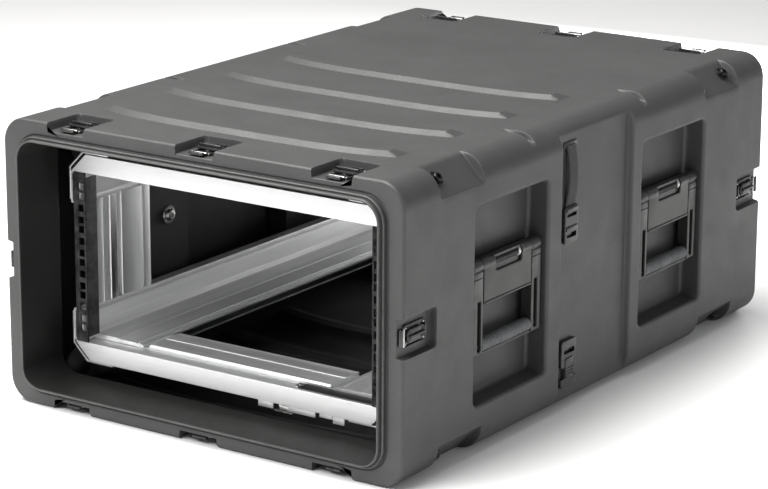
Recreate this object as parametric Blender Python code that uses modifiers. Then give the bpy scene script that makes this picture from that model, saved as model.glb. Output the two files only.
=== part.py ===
"""Shock-mount equipment rack case: a moulded shell open at both ends, with a
sprung inner frame for 4U of 19 inch gear.  Units are metres, +Z up, the front
opening faces -Y, and the origin is under the middle of the shell's base."""

import math

import bmesh
import bpy
from mathutils import Matrix, Vector

# ---------------------------------------------------------------- dimensions
WIDTH, DEPTH, HEIGHT = 0.620, 0.918, 0.382      # shell body, without ribs and tongues
MID = HEIGHT / 2                                # height of the opening's centre
WALL = 0.0055
LONG_EDGE_R, RIM_R = 0.034, 0.004
GAP = 0.0003                                    # between pieces that touch

MOUTH_X, MOUTH_Z = 0.278, 0.164                 # half sizes of the opening
MOUTH_R = 0.025
THROAT_END = 0.390                              # where the throat wall stops
TONGUE_T, TONGUE_OUT = 0.007, 0.011

RECESS_X = (-0.206, 0.0, 0.206)                 # latch recesses, top and bottom
RECESS_W, RECESS_END, RECESS_DEEP = 0.062, 0.395, 0.011
SIDE_RECESS_H, SIDE_RECESS_END, SIDE_RECESS_DEEP = 0.052, 0.386, 0.010
LATCH_Y = 0.4255

FLAT_LEG, FLAT_Y0, FLAT_Y1 = 0.0355, 0.282, 0.381
MOUNT_Y = 0.3636
BAND_Y0, BAND_Y1, BAND_DEEP = -0.099, 0.088, 0.008
SLOT_YS, SLOT_HALF = (-0.157, 0.127), 0.006
SLOT_X, SLOT_SLOPE = 0.2535, 0.26               # where a notch starts, and how its floor falls

POCKET_Y = {-1: -0.215, 1: 0.198}               # middle of the front and the rear pockets
POCKET_HALF_Y, POCKET_HALF_Z, POCKET_DEEP = 0.0905, 0.133, 0.030
HINGE_X, HINGE_Z = 0.2955, 0.238                # handle hinge axis
ARM_LEN = 0.104

RIB_YS = (-0.3405, -0.2135, -0.0875, 0.0415)
RIB_HALF_X, RIB_HALF_Y, RIB_UP = 0.229, 0.0145, 0.006
RIB_BOW = 0.022                                 # how far a rib's middle lies in front of its ends

BAR_X, BAR_H, BAR_Y0, BAR_Y1, BAR_CUT = 0.2466, 0.0250, 0.310, 0.400, 0.0235
BAR_OUT = 0.1396                                # from the centre to a crossbar's outer face
BAR_STEP_X, BAR_STEP_Y, BAR_STEP_UP = 0.1440, 0.3745, 0.0052
FRAME_X = 0.2507
RAIL_Y = 0.398
RACK_CLEAR = 0.2252                             # half of the clear width between rack rails
U = 0.04445
HOLE_X = 0.23255                                # half of the rack hole spacing


# ------------------------------------------------------------------- helpers
def clear_scene():
    for obj in list(bpy.data.objects):
        bpy.data.objects.remove(obj, do_unlink=True)


def collection(name, hidden=False):
    coll = bpy.data.collections.new(name)
    bpy.context.scene.collection.children.link(coll)
    coll.hide_render = hidden
    return coll


def material(name, colour, roughness, metallic=0.0):
    mat = bpy.data.materials.new(name)
    mat.use_nodes = True
    shader = mat.node_tree.nodes["Principled BSDF"]
    shader.inputs["Base Color"].default_value = (*colour, 1.0)
    shader.inputs["Roughness"].default_value = roughness
    shader.inputs["Metallic"].default_value = metallic
    return mat


def add_object(name, bm, coll, mat=None, smooth=True):
    bmesh.ops.recalc_face_normals(bm, faces=bm.faces)
    mesh = bpy.data.meshes.new(name)
    bm.to_mesh(mesh)
    bm.free()
    if mat:
        mesh.materials.append(mat)
    if smooth:
        mesh.shade_smooth()
        mesh.set_sharp_from_angle(angle=math.radians(35))
    obj = bpy.data.objects.new(name, mesh)
    coll.objects.link(obj)
    return obj


def box(bm, low, high):
    """An axis-aligned box between two corners; returns its vertices."""
    low, high = Vector(low), Vector(high)
    size = high - low
    made = bmesh.ops.create_cube(
        bm, size=1.0,
        matrix=Matrix.Translation((low + high) / 2) @ Matrix.Diagonal((*size, 1.0)),
    )
    return made["verts"]


def edges_along(verts, axis):
    """The edges between these vertices that run along one axis."""
    found = set()
    for vert in verts:
        for edge in vert.link_edges:
            way = edge.verts[1].co - edge.verts[0].co
            if abs(way[axis]) > 0.99 * way.length:
                found.add(edge)
    return list(found)


def round_box(bm, low, high, axis, radius, segments):
    """A box whose four edges along one axis are rounded."""
    verts = box(bm, low, high)
    bmesh.ops.bevel(
        bm, geom=edges_along(verts, axis), offset=radius, segments=segments,
        affect="EDGES", profile=0.5,
    )


def corner_block(bm, y0, y1, floor_sum, sx, sz, reach=0.060):
    """A block turned 45 degrees outside one long edge of the shell, its inner
    face at |x| + |z - MID| = floor_sum."""
    way = Vector((sx, 0, sz)).normalized()
    side = Vector((sx, 0, -sz)).normalized()
    start = way * (floor_sum / math.sqrt(2))
    # slide the block along the flat so that it is centred on the corner
    along = (WIDTH / 2 - HEIGHT / 2) / math.sqrt(2)
    centre = start + side * along + way * (reach / 2)
    turn = Matrix((
        (way.x, 0, side.x, centre.x),
        (0, 1, 0, (y0 + y1) / 2),
        (way.z, 0, side.z, centre.z + MID),
        (0, 0, 0, 1),
    ))
    bmesh.ops.create_cube(
        bm, size=1.0, matrix=turn @ Matrix.Diagonal((reach, y1 - y0, 0.130, 1.0))
    )


def cut(obj, cutter, operation="DIFFERENCE"):
    mod = obj.modifiers.new(cutter.name, "BOOLEAN")
    mod.operation = operation
    mod.solver = "EXACT"
    mod.object = cutter


def cutter(name, bm):
    obj = add_object(name, bm, CUTTERS, smooth=False)
    obj.hide_render = True
    obj.display_type = "WIRE"
    return obj


clear_scene()
CASE = collection("rack_case")
CUTTERS = collection("rack_case_cutters", hidden=True)

SHELL_PLASTIC = material("shell_plastic", (0.085, 0.088, 0.090), 0.48)
LATCH_PLASTIC = material("latch_plastic", (0.014, 0.014, 0.015), 0.38)
HANDLE_PLASTIC = material("handle_plastic", (0.024, 0.025, 0.026), 0.40)
GRIP_RUBBER = material("grip_rubber", (0.130, 0.135, 0.140), 0.55)
ALUMINIUM = material("aluminium", (0.80, 0.81, 0.82), 0.32, 1.0)
RACK_STEEL = material("rack_steel", (0.016, 0.016, 0.017), 0.42)
PLATE_METAL = material("plate_metal", (0.62, 0.63, 0.64), 0.35, 1.0)
BOLT_STEEL = material("bolt_steel", (0.05, 0.05, 0.05), 0.35, 1.0)
WEBBING = material("webbing", (0.010, 0.010, 0.011), 0.85)


# --------------------------------------------------------------------- shell
def recess_boxes(bm, grow=0.0, extra_out=0.03):
    """The sixteen latch recesses, or the material round them when grown."""
    end = DEPTH / 2 + extra_out
    for sy in (-1, 1):
        ys = sorted((sy * (RECESS_END - grow), sy * end))
        for x in RECESS_X:
            for top in (True, False):
                floor = HEIGHT - RECESS_DEEP - grow if top else RECESS_DEEP + grow
                zs = sorted((floor, HEIGHT + 0.02 if top else -0.02))
                box(bm, (x - RECESS_W / 2 - grow, ys[0], zs[0]),
                    (x + RECESS_W / 2 + grow, ys[1], zs[1]))
        ys = sorted((sy * (SIDE_RECESS_END - grow), sy * end))
        for sx in (-1, 1):
            xs = sorted((sx * (WIDTH / 2 - SIDE_RECESS_DEEP - grow), sx * (WIDTH / 2 + 0.02)))
            box(bm, (xs[0], ys[0], MID - SIDE_RECESS_H / 2 - grow),
                (xs[1], ys[1], MID + SIDE_RECESS_H / 2 + grow))


def flat_blocks(bm, grow=0.0):
    """The 45 degree flats near both ends of each long edge."""
    floor = WIDTH / 2 + HEIGHT / 2 - FLAT_LEG - grow * math.sqrt(2)
    for sx in (-1, 1):
        for sz in (-1, 1):
            for sy in (-1, 1):
                y0, y1 = sorted((sy * (FLAT_Y0 - grow), sy * (FLAT_Y1 + grow)))
                corner_block(bm, y0, y1, floor, sx, sz)


def slot_blocks(bm, grow=0.0):
    """Shallow notches across the two upper long edges, falling outwards."""
    for sx in (-1, 1):
        for y in SLOT_YS:
            turn = (Matrix.Translation((sx * SLOT_X, y, HEIGHT))
                    @ Matrix.Rotation(0.0 if sx > 0 else math.pi, 4, "Z")
                    @ Matrix.Rotation(math.atan(SLOT_SLOPE), 4, "Y"))
            half = SLOT_HALF + grow
            verts = box(bm, (-0.002 - grow, -half, -grow), (0.080, half, 0.040))
            bmesh.ops.transform(bm, matrix=turn, verts=verts)


def band_blocks(bm, grow=0.0):
    """The sunk band down the middle of each side."""
    for sx in (-1, 1):
        xs = sorted((sx * (WIDTH / 2 - BAND_DEEP - grow), sx * (WIDTH / 2 + 0.03)))
        box(bm, (xs[0], BAND_Y0 - grow, -0.03), (xs[1], BAND_Y1 + grow, HEIGHT + 0.03))


def pocket_blocks(bm, grow=0.0):
    """The four handle pockets."""
    for sx in (-1, 1):
        xs = sorted((sx * (WIDTH / 2 - POCKET_DEEP - grow), sx * (WIDTH / 2 + 0.03)))
        for sy in (-1, 1):
            y = POCKET_Y[sy]
            round_box(
                bm,
                (xs[0], y - POCKET_HALF_Y - grow, MID - POCKET_HALF_Z - grow),
                (xs[1], y + POCKET_HALF_Y + grow, MID + POCKET_HALF_Z + grow),
                0, 0.014 + grow, 3,
            )


def bowed_bar(bm, y, half_x, half_y, wide_z, narrow_z, draw_in, squeeze):
    """A bar along X that bows forward, narrower at one height than at the other."""
    loops, steps = [], 12
    for i in range(steps + 1):
        t = 2 * i / steps - 1
        loop = []
        for z, hx, hy in ((wide_z, half_x, half_y), (narrow_z, half_x - draw_in, half_y * squeeze)):
            x = hx * math.sin(t * math.pi / 2)
            middle = y - RIB_BOW * (1 - min(abs(x) / RIB_HALF_X, 1.0) ** 4)
            sides = (-1, 1) if z == wide_z else (1, -1)
            loop += [bm.verts.new((x, middle + side * hy, z)) for side in sides]
        loops.append(loop)
    for a, b in zip(loops, loops[1:]):
        for k in range(4):
            bm.faces.new((a[k], a[(k + 1) % 4], b[(k + 1) % 4], b[k]))
    bm.faces.new(loops[0])
    bm.faces.new(loops[-1])


def groove_blocks(bm, grow=0.0):
    """Stacking grooves across the base, under the ribs on the top."""
    for y in RIB_YS:
        half_x, half_y = RIB_HALF_X + 0.003 + grow, RIB_HALF_Y + 0.0015 + grow
        bowed_bar(bm, y, half_x, half_y, -0.02, RIB_UP + 0.001 + grow, 0.006,
                  0.55 if grow == 0 else 0.70)


def throat_prism(bm, sy, half_x, half_z, radius, y0, y1):
    ys = sorted((sy * y0, sy * y1))
    round_box(bm, (-half_x, ys[0], MID - half_z), (half_x, ys[1], MID + half_z), 1, radius, 4)


# outer form: rounded long edges, then rounded rims
bm = bmesh.new()
round_box(bm, (-WIDTH / 2, -DEPTH / 2, 0), (WIDTH / 2, DEPTH / 2, HEIGHT), 1, LONG_EDGE_R, 6)
rims = [e for e in bm.edges
        if abs(e.verts[0].co.y - e.verts[1].co.y) < 1e-6 and abs(e.verts[0].co.y) > DEPTH / 2 - 1e-6]
bmesh.ops.bevel(bm, geom=rims, offset=RIM_R, segments=2, affect="EDGES", profile=0.5)
shell = add_object("outer_shell", bm, CASE, SHELL_PLASTIC)

# the tongue round each opening, which the lids' rims would close over
bm = bmesh.new()
for sy in (-1, 1):
    throat_prism(bm, sy, MOUTH_X + TONGUE_T, MOUTH_Z + TONGUE_T, MOUTH_R + TONGUE_T,
                 DEPTH / 2 - 0.004, DEPTH / 2 + TONGUE_OUT)
cut(shell, cutter("tongue_blocks", bm), "UNION")

# stacking ribs across the top, with sloped sides
bm = bmesh.new()
for y in RIB_YS:
    bowed_bar(bm, y, RIB_HALF_X, RIB_HALF_Y, HEIGHT - 0.003, HEIGHT + RIB_UP, 0.009, 0.45)
cut(shell, cutter("rib_blocks", bm), "UNION")

for name, blocks in (
    ("recess_cuts", recess_boxes), ("flat_cuts", flat_blocks), ("slot_cuts", slot_blocks),
    ("band_cuts", band_blocks), ("pocket_cuts", pocket_blocks), ("groove_cuts", groove_blocks),
):
    bm = bmesh.new()
    blocks(bm)
    cut(shell, cutter(name, bm))

# the hollow inside, kept one wall away from every outer feature
bm = bmesh.new()
round_box(bm, (-WIDTH / 2 + WALL, -DEPTH / 2 + WALL + 0.001, WALL),
          (WIDTH / 2 - WALL, DEPTH / 2 - WALL - 0.001, HEIGHT - WALL), 1, LONG_EDGE_R - WALL, 4)
hollow = cutter("hollow", bm)
for name, blocks in (
    ("recess_walls", recess_boxes), ("flat_walls", flat_blocks), ("slot_walls", slot_blocks),
    ("band_walls", band_blocks), ("pocket_walls", pocket_blocks), ("groove_walls", groove_blocks),
):
    bm = bmesh.new()
    blocks(bm, grow=WALL)
    cut(hollow, cutter(name, bm))
bm = bmesh.new()
for sy in (-1, 1):
    throat_prism(bm, sy, MOUTH_X + WALL, MOUTH_Z + WALL, MOUTH_R + WALL, THROAT_END, DEPTH / 2 + 0.02)
cut(hollow, cutter("throat_walls", bm))
cut(shell, hollow)

bm = bmesh.new()
for sy in (-1, 1):
    throat_prism(bm, sy, MOUTH_X, MOUTH_Z, MOUTH_R, THROAT_END - 0.012, DEPTH / 2 + 0.05)
cut(shell, cutter("mouth_cuts", bm))


# -------------------------------------------------------- shock mounts, 45 deg
FLAT_SUM = WIDTH / 2 + HEIGHT / 2 - FLAT_LEG
PLATE_T = 0.0028
PLATE_SUM = 0.3735                               # outer face of a corner plate's 45 degree leg
MOUNT_ALONG = 0.082                              # how far along the flat the bolt sits


def mount_frame(sx, sy, sz):
    """Placement of a shock mount: local +Z leaves the case at 45 degrees, and
    the origin lies on the flat's outer face."""
    way = Vector((sx, 0, sz)).normalized()
    side = Vector((sx, 0, -sz)).normalized()
    across = way.cross(side)
    spot = way * (FLAT_SUM / math.sqrt(2)) + side * MOUNT_ALONG + Vector((0, sy * MOUNT_Y, MID))
    turn = Matrix((side, -across, way)).transposed()
    if turn.determinant() < 0:
        turn = Matrix((side, across, way)).transposed()
    return Matrix.Translation(spot) @ turn.to_4x4()


SPAN = (FLAT_SUM - PLATE_SUM) / math.sqrt(2)     # from the flat to the corner plate

bm = bmesh.new()
for sx in (-1, 1):
    for sy in (-1, 1):
        for sz in (-1, 1):
            bmesh.ops.create_cone(
                bm, cap_ends=True, segments=12, radius1=0.0050, radius2=0.0050, depth=0.030,
                matrix=mount_frame(sx, sy, sz),
            )
cut(shell, cutter("mount_holes", bm))


def turned(name, profile, steps, coll, mat):
    """A turned solid about its own Z axis, from (radius, height) points that
    run from the top down the outer side; the first and last lie on the axis."""
    mesh = bpy.data.meshes.new(name)
    mesh.from_pydata([(r, 0, z) for r, z in profile],
                     [(i, i + 1) for i in range(len(profile) - 1)], [])
    mesh.materials.append(mat)
    obj = bpy.data.objects.new(name, mesh)
    coll.objects.link(obj)
    mod = obj.modifiers.new("turn", "SCREW")
    mod.steps = mod.render_steps = steps
    mod.use_merge_vertices = True
    mod.merge_threshold = 0.00005
    mod.use_smooth_shade = False
    return obj


MOUNT_PROFILE = (
    (0.0, 0.0072), (0.0062, 0.0072), (0.0068, 0.0022), (0.0100, 0.0022), (0.0100, GAP),
    (0.0041, GAP), (0.0041, -WALL - GAP), (0.0150, -WALL - GAP), (0.0190, -WALL - 0.006),
    (0.0190, -SPAN + 0.006), (0.0150, -SPAN + GAP), (0.0038, -SPAN + GAP),
    (0.0038, -SPAN - PLATE_T - GAP), (0.0068, -SPAN - PLATE_T - GAP),
    (0.0068, -SPAN - PLATE_T - 0.0036), (0.0, -SPAN - PLATE_T - 0.0036),
)
mount_mesh = None
for sy, end in ((-1, "front"), (1, "rear")):
    for sz, level in ((1, "top"), (-1, "bottom")):
        for sx, hand in ((-1, "left"), (1, "right")):
            name = f"shock_mount_{end}_{level}_{hand}"
            obj = turned(name, MOUNT_PROFILE, 12, CASE, BOLT_STEEL)
            if mount_mesh is None:
                mount_mesh = obj.data
            else:
                obj.data = mount_mesh
            obj.matrix_world = mount_frame(sx, sy, sz)


# --------------------------------------------------------------- inner frame
def prism(bm, outline, axis, start, stop):
    """An outline of (a, b) points extruded along one axis.  The outline lies
    in the YZ plane for axis 0, and in the XZ plane for axis 1."""
    def at(a, b, t):
        return (t, a, b) if axis == 0 else (a, t, b)
    verts = [bm.verts.new(at(a, b, start)) for a, b in outline]
    face = bm.faces.new(verts)
    grown = bmesh.ops.extrude_face_region(bm, geom=[face])
    shift = Vector((0, 0, 0))
    shift[axis] = stop - start
    bmesh.ops.translate(
        bm, vec=shift, verts=[v for v in grown["geom"] if isinstance(v, bmesh.types.BMVert)])


for sy, end in ((-1, "front"), (1, "rear")):
    for sz, level in ((1, "top"), (-1, "bottom")):
        # a flat extrusion with its two outer corners cut off, hollow along its length
        out, inn = BAR_OUT, BAR_OUT - BAR_H
        outline = [
            (-BAR_X, MID + sz * inn), (BAR_X, MID + sz * inn),
            (BAR_X, MID + sz * (out - BAR_CUT)), (BAR_X - BAR_CUT, MID + sz * out),
            (-BAR_X + BAR_CUT, MID + sz * out), (-BAR_X, MID + sz * (out - BAR_CUT)),
        ]
        bm = bmesh.new()
        prism(bm, outline, 1, sy * BAR_Y0, sy * BAR_Y1)
        bar = add_object(f"crossbar_{end}_{level}", bm, CASE, ALUMINIUM, smooth=False)
        bm = bmesh.new()
        zs = sorted((MID + sz * (inn + 0.0025), MID + sz * (out - 0.0025)))
        for y0, y1 in ((BAR_Y0 + 0.003, BAR_Y0 + 0.0435), (BAR_Y0 + 0.0465, BAR_Y1 - 0.003)):
            ys = sorted((sy * y0, sy * y1))
            box(bm, (-0.30, ys[0], zs[0]), (0.30, ys[1], zs[1]))
        step = bmesh.new()                       # the raised deck behind the front strip
        ys = sorted((sy * BAR_Y0, sy * BAR_STEP_Y))
        deck = sorted((MID + sz * (inn - BAR_STEP_UP), MID + sz * (inn + 0.001)))
        box(step, (-BAR_STEP_X, ys[0], deck[0]), (BAR_STEP_X, ys[1], deck[1]))
        cut(bar, cutter(f"crossbar_deck_{end}_{level}", step), "UNION")
        cut(bar, cutter(f"crossbar_core_{end}_{level}", bm))

# long side rails: an L section, its flat leg on the crossbars, its upright leg outside
LEG_Z = BAR_OUT - BAR_H                          # the crossbars' inner face
LEG_T, LEG_IN, LEG_END = 0.0062, 0.152, 0.3775
WEB_IN, WEB_TOP = 0.2350, 0.0715                 # upright leg's inner face and inner end
for sz, level in ((1, "top"), (-1, "bottom")):
    for sx, hand in ((-1, "left"), (1, "right")):
        def at(x, z):
            return (sx * x, MID + sz * z)
        outline = [
            at(LEG_IN, LEG_Z - GAP), at(FRAME_X, LEG_Z - GAP), at(FRAME_X, WEB_TOP),
            at(WEB_IN, WEB_TOP), at(WEB_IN, LEG_Z - GAP - LEG_T),
            at(LEG_IN + 0.014, LEG_Z - GAP - LEG_T), at(LEG_IN + 0.012, LEG_Z - GAP - LEG_T + 0.002),
            at(LEG_IN, LEG_Z - GAP - LEG_T + 0.002),
        ]
        bm = bmesh.new()
        prism(bm, outline, 1, -RAIL_Y, RAIL_Y)
        rail = add_object(f"side_rail_{level}_{hand}", bm, CASE, ALUMINIUM, smooth=False)
        bm = bmesh.new()
        xs = sorted((sx * (WEB_IN + 0.0025), sx * (FRAME_X - 0.0025)))
        zs = sorted((MID + sz * (WEB_TOP + 0.0025), MID + sz * (LEG_Z - 0.0030)))
        box(bm, (xs[0], -0.45, zs[0]), (xs[1], 0.45, zs[1]))
        cut(rail, cutter(f"side_rail_core_{level}_{hand}", bm))
        bm = bmesh.new()                         # the flat leg stops short of both ends
        xs = sorted((sx * (LEG_IN - 0.02), sx * (WEB_IN - 0.002)))
        zs = sorted((MID + sz * (LEG_Z - 0.02), MID + sz * (LEG_Z + 0.01)))
        for sy in (-1, 1):
            ys = sorted((sy * LEG_END, sy * 0.45))
            box(bm, (xs[0], ys[0], zs[0]), (xs[1], ys[1], zs[1]))
        cut(rail, cutter(f"side_rail_ends_{level}_{hand}", bm))

# uprights: hollow panels between the side rails, with a T-slot down the inner face
for sy, end in ((-1, "front"), (1, "rear")):
    for sx, hand in ((-1, "left"), (1, "right")):
        xs = sorted((sx * WEB_IN, sx * (FRAME_X - 0.001)))
        ys = sorted((sy * 0.370, sy * 0.256))
        low, high = MID - WEB_TOP + GAP, MID + WEB_TOP - GAP
        bm = bmesh.new()
        box(bm, (xs[0], ys[0], low), (xs[1], ys[1], high))
        upright = add_object(f"upright_{end}_{hand}", bm, CASE, ALUMINIUM, smooth=False)
        bm = bmesh.new()
        cx = sorted((sx * (WEB_IN + 0.003), sx * (FRAME_X - 0.004)))
        for y0, y1 in ((0.259, 0.3105), (0.3305, 0.367)):
            cy = sorted((sy * y0, sy * y1))
            box(bm, (cx[0], cy[0], low - 0.01), (cx[1], cy[1], high + 0.01))
        tx = sorted((sx * (WEB_IN - 0.01), sx * (WEB_IN + 0.006)))
        ty = sorted((sy * 0.3165, sy * 0.3245))
        box(bm, (tx[0], ty[0], low - 0.01), (tx[1], ty[1], high + 0.01))
        cut(upright, cutter(f"upright_core_{end}_{hand}", bm))

# rack rails: an angle with square holes at the standard 19 inch positions
RACK_LOW, RACK_HIGH = MID - LEG_Z + GAP, MID + LEG_Z - GAP
hole_zs = [MID + (row - 2) * U + step for row in range(4) for step in (0.00635, 0.022225, 0.0381)]
hole_zs += [hole_zs[0] - 0.0127, hole_zs[-1] + 0.0127]
for sy, end in ((-1, "front"), (1, "rear")):
    for sx, hand in ((-1, "left"), (1, "right")):
        bm = bmesh.new()
        xa, xb, xc = sx * RACK_CLEAR, sx * (RACK_CLEAR + 0.002), sx * (RACK_CLEAR + 0.0188)
        ya, yb, yc = sy * 0.4010, sy * 0.3988, sy * 0.3775
        outline = [(xa, ya), (xc, ya), (xc, yb), (xb, yb), (xb, yc), (xa, yc)]
        verts = [bm.verts.new((x, y, RACK_LOW)) for x, y in outline]
        face = bm.faces.new(verts)
        grown = bmesh.ops.extrude_face_region(bm, geom=[face])
        bmesh.ops.translate(bm, vec=(0, 0, RACK_HIGH - RACK_LOW),
                            verts=[v for v in grown["geom"] if isinstance(v, bmesh.types.BMVert)])
        rail = add_object(f"rack_rail_{end}_{hand}", bm, CASE, RACK_STEEL, smooth=False)
        bm = bmesh.new()
        for z in hole_zs:
            ys = sorted((sy * 0.39, sy * 0.41))
            box(bm, (sx * HOLE_X - 0.0048, ys[0], z - 0.0048), (sx * HOLE_X + 0.0048, ys[1], z + 0.0048))
        # the deep flange is cut short at both ends to clear the side rails' flat legs
        for za, zb in ((RACK_LOW - 0.01, RACK_LOW + LEG_T + 0.001),
                       (RACK_HIGH - LEG_T - 0.001, RACK_HIGH + 0.01)):
            ys = sorted((sy * 0.3984, sy * 0.36))
            xs = sorted((sx * (RACK_CLEAR - 0.01), sx * (RACK_CLEAR + 0.01)))
            box(bm, (xs[0], ys[0], za), (xs[1], ys[1], zb))
        cut(rail, cutter(f"rack_holes_{end}_{hand}", bm))

# corner plates: bent strips that carry the frame on the shock mounts
for sz, level in ((1, "top"), (-1, "bottom")):
    for sx, hand in ((-1, "left"), (1, "right")):
        t, k = PLATE_T, PLATE_T * (math.sqrt(2) - 1)
        x_in, z_in = FRAME_X + GAP, BAR_OUT + GAP
        x_out, z_out = x_in + t, z_in + t
        def at(x, z):
            return (sx * x, MID + sz * z)
        outline = [
            at(x_in, WEB_TOP + 0.004), at(x_out, WEB_TOP + 0.004),
            at(x_out, PLATE_SUM - x_out), at(PLATE_SUM - z_out, z_out),
            at(0.188, z_out), at(0.188, z_in),
            at(PLATE_SUM - t - k - z_in, z_in), at(x_in, PLATE_SUM - t - k - x_in),
        ]
        bm = bmesh.new()
        prism(bm, outline, 1, -RAIL_Y, RAIL_Y)
        plate = add_object(f"corner_plate_{level}_{hand}", bm, CASE, PLATE_METAL, smooth=False)
        bm = bmesh.new()
        for sy in (-1, 1):
            bmesh.ops.create_cone(
                bm, cap_ends=True, segments=12, radius1=0.0045, radius2=0.0045, depth=0.020,
                matrix=mount_frame(sx, sy, sz) @ Matrix.Translation((0, 0, -SPAN)),
            )
        cut(plate, cutter(f"corner_plate_holes_{level}_{hand}", bm))


# ------------------------------------------------------------------- handles
PIN_R, BORE_R, BARREL_R = 0.0030, 0.0032, 0.0090
FLOOR = WIDTH / 2 - POCKET_DEEP - HINGE_X        # pocket floor, from the hinge axis
ARM_IN, ARM_OUT = 0.0578, 0.0785                 # an arm's span along Y, from the centre
GRIP_R, GRIP_CORE = 0.0096, 0.0050
PLATE_BOTTOM = -0.050                            # lower edge of the bracket's plate


def along_y(bm, radius, y0, y1, segments, x=0.0, z=0.0):
    bmesh.ops.create_cone(
        bm, cap_ends=True, segments=segments, radius1=radius, radius2=radius, depth=y1 - y0,
        matrix=Matrix.Translation((x, (y0 + y1) / 2, z)) @ Matrix.Rotation(math.pi / 2, 4, "X"),
    )


def joined(name, first, others, cuts=()):
    """Union helper: the first bmesh becomes the object, the others are added
    to it, and the cuts are then taken away."""
    obj = add_object(name, first, CASE)
    for i, bm in enumerate(others):
        cut(obj, cutter(f"{name}_add{i}", bm), "UNION")
    for i, bm in enumerate(cuts):
        cut(obj, cutter(f"{name}_cut{i}", bm))
    return obj


def place(obj, spot, turn):
    """Put an object and the cutters its modifiers use at one place."""
    for item in [obj] + [m.object for m in obj.modifiers if m.type == "BOOLEAN"]:
        item.location = spot
        item.rotation_euler = turn


def handle_bracket(name):
    """A hinge barrel with a T-shaped plate below it, on a block that stands on
    the pocket floor.  Local +X leaves the case; the origin is the hinge axis."""
    barrel = bmesh.new()
    along_y(barrel, BARREL_R, -ARM_IN + 0.0004, ARM_IN - 0.0004, 12)
    plate = bmesh.new()
    round_box(plate, (0.0005, -0.0555, PLATE_BOTTOM), (0.0086, 0.0555, 0.0), 0, 0.003, 1)
    block = bmesh.new()
    box(block, (FLOOR + GAP, -0.0500, PLATE_BOTTOM + 0.006), (0.004, 0.0500, -0.002))
    bore = bmesh.new()
    along_y(bore, BORE_R, -0.10, 0.10, 12)
    notch = bmesh.new()
    box(notch, (0.0052, -0.0290, -0.0065), (0.02, 0.0320, 0.02))
    return joined(name, barrel, (plate, block), (bore, notch))


def handle_bail(name):
    """Two slotted arms, the hinge pin that joins them through the barrel, and
    the rod that the grip sits on."""
    arm_l = bmesh.new()
    round_box(arm_l, (-0.0080, -ARM_OUT, -ARM_LEN - 0.0110), (0.0082, -ARM_IN, -0.004), 1, 0.003, 1)
    arm_r = bmesh.new()
    round_box(arm_r, (-0.0080, ARM_IN, -ARM_LEN - 0.0110), (0.0082, ARM_OUT, -0.004), 1, 0.003, 1)
    eyes = bmesh.new()
    along_y(eyes, BARREL_R, -ARM_OUT + 0.0002, -ARM_IN - 0.0002, 12)
    along_y(eyes, BARREL_R, ARM_IN + 0.0002, ARM_OUT - 0.0002, 12)
    pin = bmesh.new()
    along_y(pin, PIN_R, -ARM_OUT + 0.004, ARM_OUT - 0.004, 12)
    rod = bmesh.new()
    along_y(rod, GRIP_CORE, -ARM_OUT + 0.004, ARM_OUT - 0.004, 8, 0.0, -ARM_LEN)
    slots = bmesh.new()
    for sy in (-1, 1):
        ys = sorted((sy * 0.0630, sy * 0.0700))
        box(slots, (0.0040, ys[0], -0.1120), (0.02, ys[1], -0.0440))
    return joined(name, arm_l, (arm_r, eyes, pin, rod), (slots,))


def handle_grip(name):
    tube = bmesh.new()
    along_y(tube, GRIP_R, -ARM_IN + 0.0004, ARM_IN - 0.0004, 12, 0.0, -ARM_LEN)
    bore = bmesh.new()
    along_y(bore, GRIP_CORE + 0.0003, -0.10, 0.10, 8, 0.0, -ARM_LEN)
    return joined(name, tube, (), (bore,))


for sy, end in ((-1, "front"), (1, "rear")):
    for sx, hand in ((-1, "left"), (1, "right")):
        spot = Vector((sx * HINGE_X, POCKET_Y[sy], HINGE_Z))
        turn = (0, 0, 0 if sx > 0 else math.pi)
        for make, piece, mat in (
            (handle_bracket, "bracket", HANDLE_PLASTIC),
            (handle_bail, "bail", HANDLE_PLASTIC),
            (handle_grip, "grip", GRIP_RUBBER),
        ):
            obj = make(f"handle_{piece}_{end}_{hand}")
            obj.data.materials.append(mat)
            place(obj, spot, turn)


# ------------------------------------------------------------- twist latches
WING_TOP = 0.0096


def latch_wing(name):
    """A turning bar on a round hub, with a finger fin.  Local +Z leaves the
    recess and the origin is on the recess floor."""
    bm = bmesh.new()
    bmesh.ops.create_cone(bm, cap_ends=True, segments=12, radius1=0.0085, radius2=0.0085,
                          depth=0.0042, matrix=Matrix.Translation((0, 0, GAP + 0.0021)))
    bar = bmesh.new()
    round_box(bar, (-0.0185, -0.0085, 0.0036), (0.0185, 0.0085, 0.0062), 2, 0.005, 1)
    fin = bmesh.new()
    box(fin, (-0.0165, -0.0016, 0.0050), (0.0165, 0.0016, WING_TOP))
    obj = joined(name, bm, (bar, fin))
    obj.data.materials.append(LATCH_PLASTIC)
    return obj


for sy, end in ((-1, "front"), (1, "rear")):
    for i, x in enumerate(RECESS_X):
        spot = ("left", "middle", "right")[i]
        wing = latch_wing(f"latch_wing_{end}_top_{spot}")
        place(wing, (x, sy * LATCH_Y, HEIGHT - RECESS_DEEP), (0, 0, 0))
        wing = latch_wing(f"latch_wing_{end}_bottom_{spot}")
        place(wing, (x, sy * LATCH_Y, RECESS_DEEP), (math.pi, 0, 0))
    for sx, hand in ((-1, "left"), (1, "right")):
        wing = latch_wing(f"latch_wing_{end}_side_{hand}")
        place(wing, (sx * (WIDTH / 2 - SIDE_RECESS_DEEP), sy * LATCH_Y, MID),
              (math.pi / 2, 0, sx * math.pi / 2))


# ----------------------------------------------------------------- tie strap
BAND_X = WIDTH / 2 - BAND_DEEP                   # floor of the sunk band
STRAP_Y = -0.067

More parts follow.
